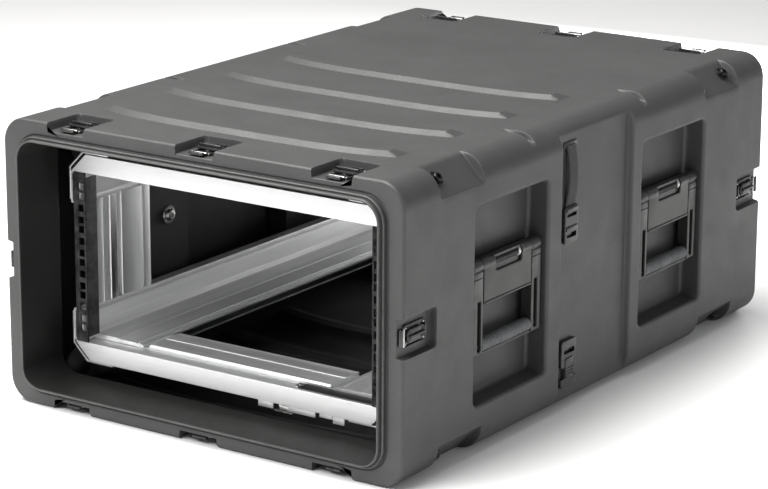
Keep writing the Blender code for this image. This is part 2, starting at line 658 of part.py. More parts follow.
bm = bmesh.new()                                 # upper buckle
round_box(bm, (BAND_X + GAP, STRAP_Y - 0.0165, 0.222), (BAND_X + 0.0070, STRAP_Y + 0.0165, 0.272), 0, 0.004, 2)
buckle = add_object("strap_upper_buckle", bm, CASE, LATCH_PLASTIC)
bm = bmesh.new()
box(bm, (BAND_X + 0.0030, STRAP_Y - 0.0110, 0.2575), (BAND_X + 0.012, STRAP_Y + 0.0110, 0.2625))
cut(buckle, cutter("upper_buckle_slot", bm))

bm = bmesh.new()                                 # lower buckle
round_box(bm, (BAND_X + GAP, STRAP_Y - 0.0190, 0.0270), (BAND_X + 0.0072, STRAP_Y + 0.0190, 0.0920), 0, 0.004, 2)
buckle = add_object("strap_lower_buckle", bm, CASE, LATCH_PLASTIC)
bm = bmesh.new()
box(bm, (BAND_X + 0.0030, STRAP_Y - 0.0125, 0.0740), (BAND_X + 0.012, STRAP_Y + 0.0125, 0.0790))
cut(buckle, cutter("lower_buckle_slot", bm))

# webbing: a flat strap that bows out between its anchor and the upper buckle
STEPS, TOP_Z, LOW_Z = 10, 0.351, 0.2735
bm = bmesh.new()
rows = []
for i in range(STEPS + 1):
    t = i / STEPS
    bow = math.sin(math.pi * t) ** 0.8 * 0.0048
    z = TOP_Z + (LOW_Z - TOP_Z) * t
    rows.append([bm.verts.new((BAND_X + GAP + bow, STRAP_Y + side * 0.0125, z)) for side in (-1, 1)])
for a, b in zip(rows, rows[1:]):
    bm.faces.new((a[0], a[1], b[1], b[0]))
webbing = add_object("strap_webbing", bm, CASE, WEBBING)
mod = webbing.modifiers.new("thickness", "SOLIDIFY")
mod.thickness = 0.0018
mod.offset = 1.0
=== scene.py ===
"""Looks for the shock-mount rack case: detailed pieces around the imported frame."""
import math

import bmesh
import bpy
import numpy as np
from mathutils import Matrix, Vector
from mathutils.geometry import tessellate_polygon


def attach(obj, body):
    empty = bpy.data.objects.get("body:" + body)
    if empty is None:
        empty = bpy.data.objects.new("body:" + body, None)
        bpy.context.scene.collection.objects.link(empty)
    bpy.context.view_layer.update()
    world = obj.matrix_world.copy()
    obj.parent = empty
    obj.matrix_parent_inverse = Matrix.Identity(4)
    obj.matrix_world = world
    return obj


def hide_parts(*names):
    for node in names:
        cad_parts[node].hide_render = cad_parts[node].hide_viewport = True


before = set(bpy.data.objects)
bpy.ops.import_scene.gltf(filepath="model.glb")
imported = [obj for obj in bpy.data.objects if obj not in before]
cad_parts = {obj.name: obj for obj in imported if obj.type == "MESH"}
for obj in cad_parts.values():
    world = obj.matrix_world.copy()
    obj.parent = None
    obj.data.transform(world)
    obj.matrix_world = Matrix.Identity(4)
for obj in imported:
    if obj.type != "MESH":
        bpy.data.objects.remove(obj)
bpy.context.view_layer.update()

SCENE = bpy.context.scene.collection
MID = 0.191
ENDS = ((-1, "front"), (1, "rear"))
HANDS = ((-1, "left"), (1, "right"))
LEVELS = ((1, "top"), (-1, "bottom"))

# -------------------------------------------------------------------- camera
cam_data = bpy.data.cameras.new("view")
cam_data.lens = 135.67
cam_data.sensor_width = 36.0
cam = bpy.data.objects.new("view", cam_data)
SCENE.objects.link(cam)
cam.matrix_world = Matrix((
    (0.82631, -0.15501, 0.54146, 2.12739),
    (0.56320, 0.21949, -0.79664, -3.17449),
    (0.00464, 0.96322, 0.26867, 1.22084),
    (0, 0, 0, 1),
))
cam_data.clip_end = 50
bpy.context.scene.camera = cam
bpy.context.scene.view_settings.view_transform = "Standard"


# ----------------------------------------------------------------- materials
def begin(name, rough, metallic=0.0, specular=0.5, coat=0.0, coat_rough=0.2):
    mat = bpy.data.materials.new(name)
    mat.use_nodes = True
    tree = mat.node_tree
    shader = tree.nodes["Principled BSDF"]
    shader.inputs["Roughness"].default_value = rough
    shader.inputs["Metallic"].default_value = metallic
    shader.inputs["Specular IOR Level"].default_value = specular
    shader.inputs["Coat Weight"].default_value = coat
    shader.inputs["Coat Roughness"].default_value = coat_rough
    coord = tree.nodes.new("ShaderNodeTexCoord")
    return mat, tree, shader, coord.outputs["Object"]


def noise(tree, vector, scale, detail=4.0, rough=0.55, stretch=None):
    if stretch:
        mapping = tree.nodes.new("ShaderNodeMapping")
        mapping.inputs["Scale"].default_value = stretch
        tree.links.new(vector, mapping.inputs["Vector"])
        vector = mapping.outputs["Vector"]
    node = tree.nodes.new("ShaderNodeTexNoise")
    node.inputs["Scale"].default_value = scale
    node.inputs["Detail"].default_value = detail
    node.inputs["Roughness"].default_value = rough
    tree.links.new(vector, node.inputs["Vector"])
    return node.outputs["Fac"]


def ramp(tree, fac, stops):
    node = tree.nodes.new("ShaderNodeValToRGB")
    for i, (at, value) in enumerate(stops):
        stop = node.color_ramp.elements[i] if i < 2 else node.color_ramp.elements.new(at)
        stop.position = at
        stop.color = (*value, 1) if hasattr(value, "__len__") else (value, value, value, 1)
    tree.links.new(fac, node.inputs["Fac"])
    return node.outputs["Color"]


def mix(tree, kind, fac, a, b):
    node = tree.nodes.new("ShaderNodeMix")
    node.data_type = "RGBA"
    node.blend_type = kind
    for value, socket in ((fac, node.inputs[0]), (a, node.inputs[6]), (b, node.inputs[7])):
        if hasattr(value, "links"):
            tree.links.new(value, socket)
        elif hasattr(value, "__len__"):
            socket.default_value = (*value, 1)
        else:
            socket.default_value = value
    return node.outputs[2]


def bump(tree, shader, height, strength, distance, under=None):
    node = tree.nodes.new("ShaderNodeBump")
    node.inputs["Strength"].default_value = strength
    node.inputs["Distance"].default_value = distance
    tree.links.new(height, node.inputs["Height"])
    if under:
        tree.links.new(under, node.inputs["Normal"])
    tree.links.new(node.outputs["Normal"], shader.inputs["Normal"])
    return node.outputs["Normal"]


def edges_of(tree, low, high):
    """How much a spot is a convex edge, where a painted highlight goes."""
    geo = tree.nodes.new("ShaderNodeNewGeometry")
    return ramp(tree, geo.outputs["Pointiness"], ((low, 0.0), (high, 1.0)))


def moulded(name, colour, rough, grain=900.0, depth=0.00025, mottle=0.12, specular=0.5, edge_highlight=None,
            strength=0.35):
    mat, tree, shader, at = begin(name, rough, specular=specular)
    dark = [c * (1 - mottle) for c in colour]
    light = [c * (1 + mottle) for c in colour]
    tint = ramp(tree, noise(tree, at, 9.0, 6.0, 0.62), ((0.32, dark), (0.68, light)))
    fine = ramp(tree, noise(tree, at, 260.0, 3.0), ((0.30, 0.86), (0.70, 1.0)))
    tint = mix(tree, "MULTIPLY", 1.0, tint, fine)
    # convex edges, in noisy patches, take a lighter colour: a painted highlight
    if edge_highlight:
        highlight_patches = ramp(tree, noise(tree, at, 60.0, 5.0, 0.7), ((0.42, 0.25), (0.62, 1.0)))
        where = mix(tree, "MULTIPLY", 1.0, edges_of(tree, 0.515, 0.60), highlight_patches)
        tint = mix(tree, "MIX", where, tint, edge_highlight)
    tree.links.new(tint, shader.inputs["Base Color"])
    tree.links.new(ramp(tree, noise(tree, at, 24.0, 5.0), ((0.3, rough - 0.05), (0.7, rough + 0.06))),
                   shader.inputs["Roughness"])
    wide = bump(tree, shader, noise(tree, at, 38.0, 2.0), 0.10, 0.0012)
    bump(tree, shader, noise(tree, at, grain, 2.0, 0.5), strength, depth, wide)
    return mat


def brushed(name, along, colour, rough):
    """Extruded metal, with fine die lines along one axis."""
    mat, tree, shader, at = begin(name, rough, metallic=1.0)
    fine = [900.0, 900.0, 900.0]
    wide = [70.0, 70.0, 70.0]
    fine[along], wide[along] = 6.0, 2.0
    lines = noise(tree, at, 1.0, 3.0, 0.6, fine)
    bands = noise(tree, at, 1.0, 3.0, 0.6, wide)
    tint = mix(tree, "MULTIPLY", 1.0,
               ramp(tree, bands, ((0.25, [c * 0.86 for c in colour]), (0.75, colour))),
               ramp(tree, lines, ((0.25, 0.90), (0.75, 1.0))))
    tree.links.new(tint, shader.inputs["Base Color"])
    tree.links.new(ramp(tree, mix(tree, "MIX", 0.5, bands, lines), ((0.3, rough - 0.07), (0.7, rough + 0.09))),
                   shader.inputs["Roughness"])
    bump(tree, shader, lines, 0.14, 0.00008)
    return mat


def plated(name, colour, rough):
    mat, tree, shader, at = begin(name, rough, metallic=1.0)
    tree.links.new(ramp(tree, noise(tree, at, 90.0, 5.0), ((0.3, [c * 0.8 for c in colour]), (0.7, colour))),
                   shader.inputs["Base Color"])
    tree.links.new(ramp(tree, noise(tree, at, 240.0, 4.0), ((0.3, rough - 0.05), (0.7, rough + 0.1))),
                   shader.inputs["Roughness"])
    bump(tree, shader, noise(tree, at, 700.0, 2.0), 0.12, 0.0001)
    return mat


def woven(name, colour):
    mat, tree, shader, at = begin(name, 0.88, specular=0.25)
    shader.inputs["Sheen Weight"].default_value = 0.35
    heights = []
    for axis, rate, turn in ((1, 1500.0, 0.0), (2, 1150.0, 0.0)):
        wave = tree.nodes.new("ShaderNodeTexWave")
        wave.wave_type = "BANDS"
        wave.bands_direction = "Y" if axis == 1 else "Z"
        wave.inputs["Scale"].default_value = rate / 6.2832
        wave.inputs["Distortion"].default_value = 0.6
        wave.inputs["Detail"].default_value = 1.0
        tree.links.new(at, wave.inputs["Vector"])
        heights.append(wave.outputs["Color"])
    weave = mix(tree, "MULTIPLY", 1.0, *heights)
    tint = mix(tree, "MULTIPLY", 1.0,
               ramp(tree, weave, ((0.1, [c * 0.45 for c in colour]), (0.9, colour))),
               ramp(tree, noise(tree, at, 300.0, 3.0), ((0.3, 0.8), (0.7, 1.0))))
    tree.links.new(tint, shader.inputs["Base Color"])
    bump(tree, shader, weave, 0.7, 0.0005)
    return mat


# the last colour given to each moulded plastic is a painted highlight on its convex edges
SHELL = moulded("shell_plastic_grain", (0.052, 0.0530, 0.0524), 0.46, 820.0, 0.00030, 0.10, 0.50,
                edge_highlight=(0.13, 0.13, 0.127))
# a darker copy of the shell plastic for the throat and the inside: painted shade, with a finer grain
SHELL_IN_SHADED = moulded("shell_plastic_inside_painted_shade", (0.018, 0.018, 0.0174), 0.46, 820.0, 0.00014, 0.12, 0.25,
                   edge_highlight=(0.03, 0.03, 0.03), strength=0.2)
LATCH = moulded("latch_plastic_gloss", (0.0085, 0.0085, 0.009), 0.26, 1200.0, 0.00008, 0.2, 0.55,
                edge_highlight=(0.05, 0.05, 0.05), strength=0.2)
HANDLE = moulded("handle_plastic_satin", (0.021, 0.021, 0.020), 0.33, 1100.0, 0.00012, 0.18, 0.5,
                 edge_highlight=(0.10, 0.10, 0.10), strength=0.25)
GRIP = moulded("grip_rubber_matt", (0.125, 0.130, 0.134), 0.58, 1300.0, 0.00020, 0.14, 0.4,
               edge_highlight=(0.15, 0.155, 0.16))
RACK = moulded("rack_powder_coat", (0.0035, 0.0035, 0.0038), 0.55, 1500.0, 0.00012, 0.12, 0.12,
               edge_highlight=(0.05, 0.05, 0.05))
RUBBER = moulded("mount_rubber_black", (0.012, 0.012, 0.012), 0.62, 700.0, 0.0002, 0.2, 0.35)
ALU_X = brushed("aluminium_along_x", 0, (0.90, 0.905, 0.91), 0.50)
# the side rails' aluminium is lighter than the rest: painted light, for rails that sit in shade under the roof of the
# case
ALU_Y_LIGHTENED = brushed("aluminium_along_y_painted_light", 1, (0.97, 0.972, 0.975), 0.46)
ALU_Z = brushed("aluminium_along_z", 2, (0.90, 0.905, 0.91), 0.45)
STRIP = brushed("aluminium_strip", 2, (0.97, 0.965, 0.95), 0.24)
PLATE = brushed("plate_metal_brushed", 1, (0.66, 0.67, 0.68), 0.34)
STEEL = plated("fastener_steel", (0.55, 0.55, 0.54), 0.26)
BOLT = plated("fastener_black", (0.045, 0.045, 0.046), 0.30)
WEB = woven("strap_webbing_weave", (0.022, 0.022, 0.023))


# -------------------------------------------------------------- mesh helpers
def link(name, mesh, mats, body="case", node=()):
    obj = bpy.data.objects.new(name, mesh)
    SCENE.objects.link(obj)
    mesh.materials.clear()
    for mat in (mats if isinstance(mats, (list, tuple)) else [mats]):
        mesh.materials.append(mat)
    if node:
        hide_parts(*([node] if isinstance(node, str) else node))
    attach(obj, body)
    return obj


def smooth(mesh, angle=32):
    mesh.shade_smooth()
    mesh.set_sharp_from_angle(angle=math.radians(angle))


def to_mesh(name, bm, angle=32, fix=True):
    if fix:
        bmesh.ops.recalc_face_normals(bm, faces=bm.faces)
    mesh = bpy.data.meshes.new(name)
    bm.to_mesh(mesh)
    bm.free()
    if angle:
        smooth(mesh, angle)
    return mesh


def moved(mesh, matrix, name):
    copy = mesh.copy()
    copy.name = name
    copy.transform(matrix)
    if matrix.to_3x3().determinant() < 0:
        copy.flip_normals()
    return copy


def edge_bevel(bm, edges, width, segments=2):
    bmesh.ops.bevel(bm, geom=edges, offset=width, offset_type="OFFSET", segments=segments,
                    affect="EDGES", profile=0.5, clamp_overlap=True)


def rbox(bm, low, high, radius=0.0, segments=2, corner=0.0, axis=2, corner_steps=4):
    """A box between two corners: its edges along one axis take the corner
    radius first, then every remaining edge takes the small radius."""
    low, high = Vector(low), Vector(high)
    size = high - low
    part = bmesh.new()
    bmesh.ops.create_cube(part, size=1.0, matrix=Matrix.Translation((low + high) / 2)
                          @ Matrix.Diagonal((*size, 1.0)))
    if corner:
        picked = []
        for edge in part.edges:
            way = edge.verts[1].co - edge.verts[0].co
            if abs(way[axis]) > 0.99 * way.length:
                picked.append(edge)
        edge_bevel(part, picked, corner, corner_steps)
    if radius:
        picked = [e for e in part.edges if e.calc_face_angle(0) > math.radians(40)]
        edge_bevel(part, picked, radius, segments)
    add(bm, part)


def add(bm, part, matrix=None):
    """Copy a bmesh into another, then free it."""
    if matrix is not None:
        bmesh.ops.transform(part, matrix=matrix, verts=part.verts)
    verts = {}
    for v in part.verts:
        verts[v] = bm.verts.new(v.co)
    for f in part.faces:
        bm.faces.new([verts[v] for v in f.verts])
    part.free()


def lathe(bm, profile, steps=32, matrix=None, closed=False):
    """Turn (radius, height) points about local Z.  Points at radius 0 close it."""
    part = bmesh.new()
    rings = []
    for r, z in profile:
        if r < 1e-7:
            rings.append([part.verts.new((0, 0, z))])
        else:
            rings.append([part.verts.new((r * math.cos(2 * math.pi * k / steps),
                                          r * math.sin(2 * math.pi * k / steps), z))
                          for k in range(steps)])
    pairs = list(zip(rings, rings[1:])) + ([(rings[-1], rings[0])] if closed else [])
    for a, b in pairs:
        for k in range(steps):
            j = (k + 1) % steps
            quad = [a[k % len(a)], a[j % len(a)], b[j % len(b)], b[k % len(b)]]
            unique = []
            for v in quad:
                if v not in unique:
                    unique.append(v)
            if len(unique) > 2:
                part.faces.new(unique)
    bmesh.ops.recalc_face_normals(part, faces=part.faces)
    add(bm, part, matrix)


ALONG_Y = Matrix.Rotation(-math.pi / 2, 4, "X")
ALONG_X = Matrix.Rotation(math.pi / 2, 4, "Y")


def rod(bm, radius, a, b, edge=0.0005, steps=28, matrix=None):
    edge = min(edge, radius * 0.8, (b - a) / 2.2)
    arc = [(radius - edge + edge * math.sin(t), edge * (1 - math.cos(t)))
           for t in (math.pi / 2 * k / 3 for k in range(4))]
    profile = [(0, a)] + [(r, a + z) for r, z in arc] + [(r, b - z) for r, z in reversed(arc)] + [(0, b)]
    lathe(bm, profile, steps, matrix)


def rounded(outline, radius, steps=3):
    out = []
    n = len(outline)
    for i, spot in enumerate(outline):
        p = Vector(spot)
        a, b = Vector(outline[i - 1]) - p, Vector(outline[(i + 1) % n]) - p
        r = radius[i] if isinstance(radius, (list, tuple)) else radius
        turn = a.angle(b)
        if r <= 0 or turn > 3.0:
            out.append(tuple(p))
            continue
        cut = min(r / math.tan(turn / 2), 0.45 * a.length, 0.45 * b.length)
        s, e = p + a.normalized() * cut, p + b.normalized() * cut
        for k in range(steps + 1):
            t = k / steps
            out.append(tuple(s * (1 - t) ** 2 + p * 2 * t * (1 - t) + e * t * t))
    return out


def extrusion(bm, outline, holes, axis, start, stop, ends=None):
    """A section with holes, extruded along an axis.  ends(point) may give how
    much shorter the piece is at that point of the section."""
    loops = [outline] + list(holes)
    points = [p for loop in loops for p in loop]
    triangles = tessellate_polygon([[Vector((*p, 0)) for p in loop] for loop in loops])

    def at(p, t):
        return (t, *p) if axis == 0 else (p[0], t, p[1]) if axis == 1 else (*p, t)

    part = bmesh.new()
    short = [ends(p) if ends else 0.0 for p in points]
    first = [part.verts.new(at(p, start + s)) for p, s in zip(points, short)]
    last = [part.verts.new(at(p, stop - s)) for p, s in zip(points, short)]
    for tri in triangles:
        if len(set(tri)) == 3:
            part.faces.new([first[i] for i in tri])
            part.faces.new([last[i] for i in reversed(tri)])
    base = 0
    for loop in loops:
        n = len(loop)
        for i in range(n):
            j = (i + 1) % n
            part.faces.new((first[base + i], first[base + j], last[base + j], last[base + i]))
        base += n
    bmesh.ops.recalc_face_normals(part, faces=part.faces)
    add(bm, part)


def boolean(mesh, tool, operation="DIFFERENCE"):
    """The mesh with another mesh taken away or added."""
    a = bpy.data.objects.new("bool_a", mesh)
    b = bpy.data.objects.new("bool_b", tool)
    SCENE.objects.link(a)
    SCENE.objects.link(b)
    mod = a.modifiers.new("b", "BOOLEAN")
    mod.operation = operation
    mod.solver = "EXACT"
    mod.object = b
    bpy.context.view_layer.update()
    result = bpy.data.meshes.new_from_object(a.evaluated_get(bpy.context.evaluated_depsgraph_get()))
    bpy.data.objects.remove(a)
    bpy.data.objects.remove(b)
    bpy.data.meshes.remove(tool)
    return result


def refined(node, width, mat, segments=2, angle=25):
    """The CAD node's own shape with its flat faces made whole and its edges
    rounded."""
    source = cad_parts[node]
    bm = bmesh.new()
    bm.from_mesh(source.data)
    bmesh.ops.transform(bm, matrix=source.matrix_world, verts=bm.verts)
    bmesh.ops.remove_doubles(bm, verts=bm.verts, dist=3e-6)
    bmesh.ops.dissolve_limit(bm, angle_limit=math.radians(1.0), verts=bm.verts, edges=bm.edges,
                             use_dissolve_boundaries=False)
    picked = [e for e in bm.edges if len(e.link_faces) == 2 and e.calc_face_angle(0) > math.radians(angle)]
    edge_bevel(bm, picked, width, segments)
    mesh = to_mesh(node + "_look", bm, 32, fix=False)
    return link(node + "_look", mesh, mat, "case", node)


# --------------------------------------------------------------------- shell
# The shell is one skin, wrapped round the section and along the case: rows run
# along Y over the outside, round the rim and the tongue, through the throat
# and back along the inside.
A, B, R = 310.0, 191.0, 34.0                      # outer half sizes and edge radius, in mm
RIBS = (-340.5, -213.5, -87.5, 41.5)


def merged(values, least):
    out = []
    for v in sorted(values):
        if not out or v - out[-1] >= least:
            out.append(v)
    return out


def filled(values, widest):
    out = [values[0]]
    for a, b in zip(values, values[1:]):
        n = max(1, math.ceil((b - a) / widest))
        out += [a + (b - a) * (k + 1) / n for k in range(n)]
    return out


def wall(edge, width, side, steps=(-0.3, 0, 0.1, 0.25, 0.42, 0.58, 0.75, 0.9, 1.0, 1.35)):
    """Lines across a feature's wall; side points into the feature."""
    return [edge + side * width * s for s in steps]


def both(values):
    return [s * v for s in (-1, 1) for v in values]


LIP_LINES = (-1.0, 0, 1.2, 2.3, 3.3, 4.1, 4.7, 5.0, 5.7, 6.5, 7.2, 8.0, 9.2, 10.4, 11.6, 13, 14.5, 16.5)
BAND_LINES = (-1.0, 0, 1.0, 1.9, 2.7, 3.4, 3.8, 4.1, 4.8, 5.4, 6.1, 7.1, 8.4)
v_lines = [-157.0, 157.0] + both([133 - t for t in LIP_LINES] + [138.5, 137, 136])
v_lines += both(wall(26, 2.4, -1) + [20.5, 18, 31.5, 30, 28.7]) + both([155.5])
v_lines = filled(merged([v for v in v_lines if abs(v) <= 157], 0.25), 13)
u_lines = [-276.0, 276.0]
for x in (-206, 0, 206):
    u_lines += [x + d for d in both(wall(31, 2.2, -1) + [25.5, 23.5, 21, 36.5, 35, 33.6])]
u_lines += both([229, 227.5, 222, 216.5, 215, 213.5, 253.5, 258, 263, 268, 272, 232])
u_lines = filled(merged([u for u in u_lines if abs(u) <= 276], 0.25), 15)
TURNS = 16

lines = []                                        # (cu, cv, dx, dz) of each line of the skin
lines += [(1, v / 157, 1, 0) for v in v_lines]
lines += [(1, 1, math.cos(t), math.sin(t)) for t in (math.pi / 2 * k / TURNS for k in range(1, TURNS))]
lines += [(u / 276, 1, 0, 1) for u in reversed(u_lines)]
lines += [(-1, 1, -math.sin(t), math.cos(t)) for t in (math.pi / 2 * k / TURNS for k in range(1, TURNS))]
lines += [(-1, v / 157, -1, 0) for v in reversed(v_lines)]
lines += [(-1, -1, -math.cos(t), -math.sin(t)) for t in (math.pi / 2 * k / TURNS for k in range(1, TURNS))]
lines += [(u / 276, -1, 0, -1) for u in u_lines]
lines += [(1, -1, math.sin(t), -math.cos(t)) for t in (math.pi / 2 * k / TURNS for k in range(1, TURNS))]
CU, CV, DX, DZ = np.array(lines).T
CX, CZ = CU * (A - R), CV * (B - R)
ON_SIDE, ON_TOP, ON_BASE = np.abs(DX) > 0.9999, DZ > 0.9999, DZ < -0.9999


def ease(t):
    t = np.clip(t, 0, 1)
    return t * t * (3 - 2 * t)


def rect_distance(px, py, hx, hy, r):
    qx, qy = np.abs(px) - hx + r, np.abs(py) - hy + r
    return np.minimum(np.maximum(qx, qy), 0) + np.hypot(np.maximum(qx, 0), np.maximum(qy, 0)) - r


def lipped(t, deep, lip, run, foot):
    """A wall's depth at a distance into a feature: a rounded lip, a steep face
    and a fillet at its foot."""
    t = np.asarray(t, float)
    edge = lip - np.sqrt(np.maximum(lip * lip - np.clip(t, 0, lip) ** 2, 0))
    face = lip + (deep - foot - lip) * np.clip((t - lip) / run, 0, 1)
    left = np.clip(foot - (t - lip - run), 0, foot)
    floor = deep - foot + np.sqrt(np.maximum(foot * foot - left ** 2, 0))
    return np.where(t < lip, edge, np.where(t < lip + run, face, floor))


def inset(y, grow):
    """How far the skin lies inside the plain outer form, for one row."""
    ay = abs(y)
    e = np.full(len(CU), float(grow))

    def sink(mask, target):
        nonlocal e
        e = np.maximum(e, grow + (target - grow) * mask)

    middle = -215.0 if y < 0 else 198.0
    d = rect_distance(np.full(len(CU), abs(y - middle)), CZ, 90.5 + grow, 133 + grow, 14 + grow)
    shape = ease(-d / 5.0) if grow else lipped(-d, 30.0, 5.0, 1.5, 6.0) / 30.0
    sink(shape * ON_SIDE, 30.0 + grow)
    safe = np.maximum(np.abs(DX), 0.25)
    band = np.where(np.abs(DX) > 0.3, R - (26.0 - grow) / safe, 0.0)
    d = min(y + 99 + grow, 88 + grow - y)
    sink(ease(d / 6.0) if grow else lipped(d, 8.0, 4.0, 0.8, 3.0) / 8.0, np.maximum(band, grow))
    total = np.abs(DX) + np.abs(DZ)
    flat = R - (465.5 - grow * math.sqrt(2) - np.abs(CX) - np.abs(CZ)) / total
    sink(ease(min(ay - 282 + grow, 381 + grow - ay) / 2.8), np.maximum(flat, grow))
    slot = R - (256.78 - grow * 1.033 - CZ - 0.26 * np.abs(CX)) / np.maximum(DZ + 0.26 * np.abs(DX), 0.1)
    slot = np.where(DZ > 0.02, slot, 0.0)
    for at in (-157.0, 127.0):
        sink(ease((6 + grow - abs(y - at)) / 2.0), np.maximum(slot, grow))
    for x in (-206.0, 0.0, 206.0):
        qx, qy = np.abs(CX - x) - (31 + grow) + 8, 395 - grow - ay + 8
        d = np.minimum(np.maximum(qx, qy), 0) + np.hypot(np.maximum(qx, 0), max(qy, 0)) - 8
        sink(ease(-d / 2.2) * (ON_TOP | ON_BASE), 11.0 + grow)
    qx, qy = np.abs(CZ) - (26 + grow) + 8, 386 - grow - ay + 8
    d = np.minimum(np.maximum(qx, qy), 0) + np.hypot(np.maximum(qx, 0), max(qy, 0)) - 8
    sink(ease(-d / 2.4) * ON_SIDE, 10.0 + grow)
    for rib in RIBS:
        off = abs(y - rib)
        sink(np.clip(np.minimum((16 + grow - off) / 7.2, (232 + grow - np.abs(CX)) / 6), 0, 1) * ON_BASE,
             7.0 + grow)
    if grow == 0:
        off = min(abs(y - rib) for rib in RIBS)
        e = e - 6.0 * np.clip(np.minimum((14.5 - off) / 8, (229 - np.abs(CX)) / 14), 0, 1) * ON_TOP
    return e


BOW = 22.0 * (1 - np.minimum(np.abs(CX) / 229.0, 1.0) ** 4) * (ON_TOP | ON_BASE)


def skin(e, y):
    """One row of the skin; rows near the ribs bow forward with them."""
    share = min(max((y + 392.0) / 35.0, 0.0), 1.0) * min(max((130.0 - y) / 68.0, 0.0), 1.0)
    return np.stack([CX + DX * (R - e), y - BOW * share, CZ + DZ * (R - e)], axis=1)


def ring(a, b, r, y):
    return np.stack([CU * (a - r) + DX * r, np.full(len(CU), float(y)), CV * (b - r) + DZ * r], axis=1)


ys = []
for middle in (-215, 198):
    ys += [middle + s * (90.5 - t) for t in LIP_LINES for s in (-1, 1)]
ys += [-99 + t for t in BAND_LINES] + [88 - t for t in BAND_LINES]
for s in (-1, 1):
    ys += [s * v for v in wall(282, 2.8, 1) + wall(381, 2.8, -1)]
    ys += [s * v for v in wall(395, 2.2, 1) + wall(386, 2.4, 1) + [398.5, 401, 403, 391, 393]]
    ys += [s * 449.0, s * 453.5, s * 455.0]
for at in (-157, 127):
    ys += [at + d for d in both([7.2, 6, 5.6, 5, 4.4, 3.9, 3.5, 2])] + [at]
for at in RIBS:
    ys += [at + d for d in both([16, 15.2, 14.5, 13.6, 10.5, 8.8, 7.2, 6.5, 5.6, 2])]
outer_ys = [y for y in filled(merged(ys, 0.25), 13) if abs(y) <= 455.001]
ys = [-390.0, 390.0]
for s in (-1, 1):
    ys += [s * v for v in wall(276.5, 2.8, 1) + wall(386.5, 2.8, -1)]
for middle in (-215, 198):
    ys += [middle + s * v for v in wall(96, 5, -1) + [84, 80] for s in (-1, 1)]
ys += wall(-104.5, 6, 1) + wall(93.5, 6, -1)
for at in RIBS:
    ys += [at + d for d in both([21.5, 14.3, 7])]
for at in (-157, 127):
    ys += [at + d for d in both([11.5, 10.2, 9])]
inner_ys = [y for y in filled(merged(ys, 0.8), 22) if abs(y) <= 389.5]

RIM = [(0, 0)] + [(4 * math.sin(math.radians(t)), 4 * (1 - math.cos(math.radians(t))))
                  for t in (14, 28, 42, 56, 68, 79, 90)]
TONGUE = [
    (288.6, 174.6, 35.6, 459.0), (287.6, 173.6, 34.6, 458.5), (286.8, 172.8, 33.8, 457.6),
    (286.0, 172.0, 33.0, 457.4), (285.3, 171.3, 32.3, 457.8), (285, 171, 32, 458.8),
    (285, 171, 32, 462.0), (284.8, 170.8, 31.8, 463.1), (284.2, 170.2, 31.2, 463.9),
    (283.3, 169.3, 30.3, 464.2), (282.7, 168.7, 29.7, 463.6), (282.2, 168.2, 29.2, 463.0),
    (281.7, 167.7, 28.7, 463.2), (281.5, 167.5, 28.5, 464.2), (281.5, 167.5, 28.5, 467.8),
    (281.2, 167.2, 28.2, 469.0), (280.5, 166.5, 27.5, 469.8), (279.7, 165.7, 26.7, 470.0),
    (278.9, 164.9, 25.9, 469.7), (278.2, 164.2, 25.2, 468.9), (278, 164, 25, 467.8),
    (278, 164, 25, 455), (278, 164, 25, 432), (278, 164, 25, 410), (278, 164, 25, 391.6),
    (278.4, 164.4, 25.4, 390.4), (279.6, 165.6, 26.6, 390),
]


def end_rows(s):
    """From the last outer row at one end, round the rim and into the throat."""
    rows = []
    for dy, e_rim in RIM[1:]:
        y = 455 + dy
        lip = max(0.0, (y - 457.4) / 1.6)
        e = inset(s * y, 0)
        sunk = e > 9.0
        e = np.maximum(e, e_rim)
        e = e + np.where(sunk, 1.4 * (1 - math.sqrt(max(0.0, 1 - min(lip, 1) ** 2))), 0)
        rows.append(skin(e, s * y))
    face, base = rows[-1], ring(*TONGUE[0][:3], s * 459.0)
    for f in (0.12, 0.4, 0.7, 0.92):
        rows.append(face * (1 - f) + base * f)
    rows += [ring(a, b, r, s * y) for a, b, r, y in TONGUE]
    last, hollow = rows[-1], skin(inset(s * 389.6, 5.5), s * 390.0)
    for f in (0.35, 0.75, 1.0):
        rows.append(last * (1 - f) + hollow * f)
    return rows


rows = [skin(inset(y, 0), y) for y in outer_ys]
END_ROWS = len(end_rows(1))
rows += end_rows(1)
rows += [skin(inset(y, 5.5), y) for y in reversed(inner_ys)]
rows += list(reversed(end_rows(-1)))
points = np.concatenate(rows)
points[:, 2] += B
n_rows, n_lines = len(rows), len(CU)
grid = np.arange(n_rows * n_lines).reshape(n_rows, n_lines)
next_row, next_line = np.roll(grid, -1, axis=0), np.roll(grid, -1, axis=1)
both_next = np.roll(next_row, -1, axis=1)
quads = np.stack([grid, next_line, both_next, next_row], axis=-1).reshape(-1, 4)
shell_mesh = bpy.data.meshes.new("shell_skin")
shell_mesh.from_pydata((points * 0.001).tolist(), [], quads.tolist())
bm = bmesh.new()
bm.from_mesh(shell_mesh)
bmesh.ops.remove_doubles(bm, verts=bm.verts, dist=1e-6)
bmesh.ops.recalc_face_normals(bm, faces=bm.faces)
if bm.calc_volume(signed=True) < 0:
    bmesh.ops.reverse_faces(bm, faces=bm.faces)
bm.to_mesh(shell_mesh)
bm.free()
shell_mesh.shade_smooth()
shell_mesh.set_sharp_from_angle(angle=math.radians(52))
shell = link("shell_skin", shell_mesh, [SHELL, SHELL_IN_SHADED], "case", "outer_shell")
